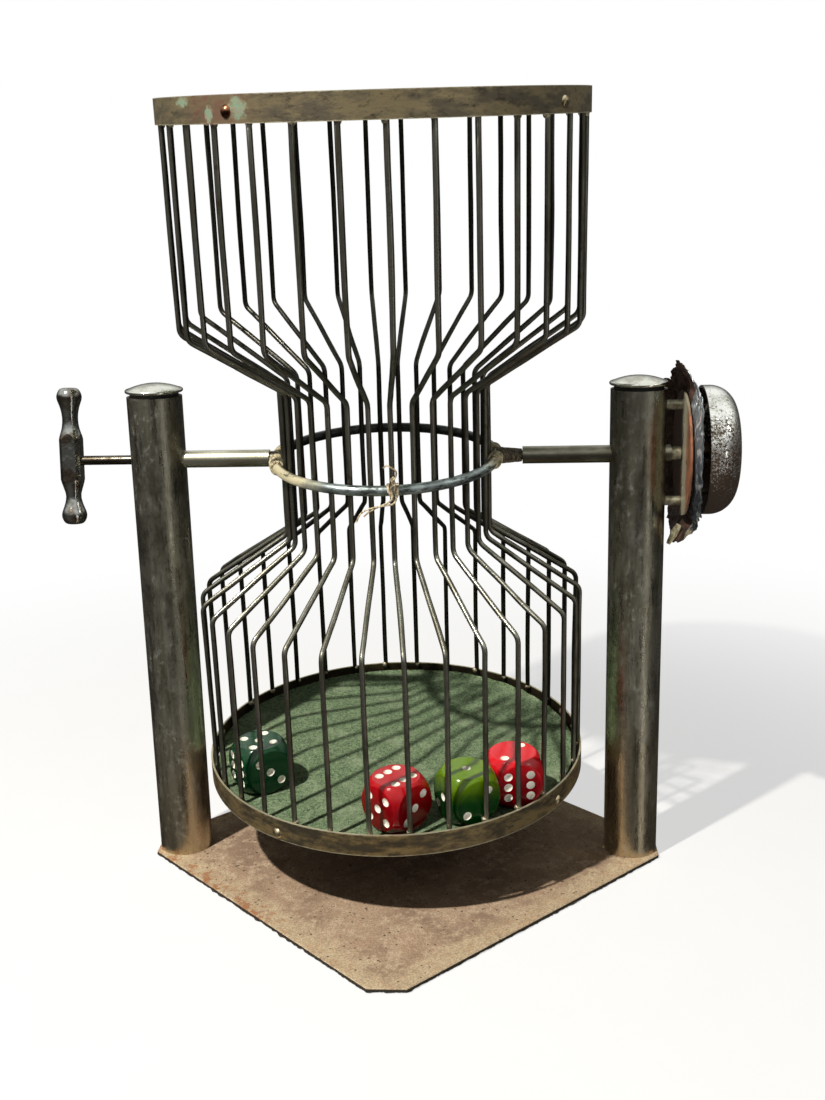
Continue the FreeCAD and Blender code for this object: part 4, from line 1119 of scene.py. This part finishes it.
def pale_floor():
    """A wide pale floor that fades into the white background."""
    radius, gap, fade_from, fade_to, least_glow = 4.0, 0.2 * MM, 250, 900, 0.62
    build = bmesh.new()
    bmesh.ops.create_circle(build, cap_ends=True, segments=96, radius=radius)
    mesh = bpy.data.meshes.new("floor")
    build.to_mesh(mesh)
    build.free()
    look = Look("pale_floor")
    reach = look.node("VectorMath", look.place, operation="LENGTH").outputs["Value"]
    grain = look.noise(40, 3)
    matt = look.node("BsdfDiffuse", look.mix(grain, rgb(244, 243, 240), rgb(250, 250, 248))).outputs[0]
    glow = look.node("Emission", (1, 1, 1, 1), 1.0).outputs[0]
    lit = look.step(reach, fade_from, fade_to, least_glow, 1.0)
    look.node("OutputMaterial", look.node("MixShader", lit, matt, glow).outputs[0])
    mesh.materials.append(look.material)
    floor = bpy.data.objects.new("floor", mesh)
    bpy.context.scene.collection.objects.link(floor)
    floor.location.z = -gap
    floor.visible_glossy = False


def add_camera():
    """Eye a little above the axle, to the right of the cage's centre, looking down."""
    eye = (0.06125, -0.79745, 0.4165)
    turn_left, look_down, roll = math.radians(3.72), math.radians(14.35), math.radians(-1.39)
    data = bpy.data.cameras.new("camera")
    data.sensor_width = 36.0
    data.lens = 41.73
    data.clip_start = 0.02
    camera = bpy.data.objects.new("camera", data)
    bpy.context.scene.collection.objects.link(camera)
    camera.matrix_world = (
        Matrix.Translation(eye)
        @ Matrix.Rotation(turn_left, 4, "Z")
        @ Matrix.Rotation(math.pi / 2 - look_down, 4, "X")
        @ Matrix.Rotation(roll, 4, "Z")
    )
    bpy.context.scene.camera = camera


def light_and_camera():
    bpy.context.scene.view_settings.view_transform = "Standard"
    studio_world()
    pale_floor()
    add_light("key", toward=(-0.46, -0.58, 1.0), distance=2.2, size=0.07, power=60.0,
              colour=(1.0, 0.96, 0.89))
    add_light("side", toward=(1.4, -0.43, 1.0), distance=2.2, size=0.4, power=1.4,
              colour=(1.0, 0.97, 0.92))
    add_camera()


def main():
    rng = random.Random(7)
    dress_frame()
    bent_bars()
    solder_blobs(rng)
    green = felt("green_felt", rgb(128, 154, 110), rgb(50, 72, 48), rgb(180, 192, 158))
    felt_floor("bottom_felt", 1, green)
    felt_floor("top_felt", -1, green)
    ring_windings()
    shaft_windings(rng)
    front_tie()
    # the pad's dark felt partly stands in as painted shade for the shadow under the base
    ragged_pad_and_shadow(felt("pad_felt", rgb(64, 56, 44), rgb(30, 25, 19), rgb(86, 76, 60)))
    shape = guard_shape()
    crumpled_guard(shape)
    folded_tip(shape, tie_cord("flap_tin", rgb(196, 190, 160), rgb(150, 142, 112)))
    light_and_camera()


main()
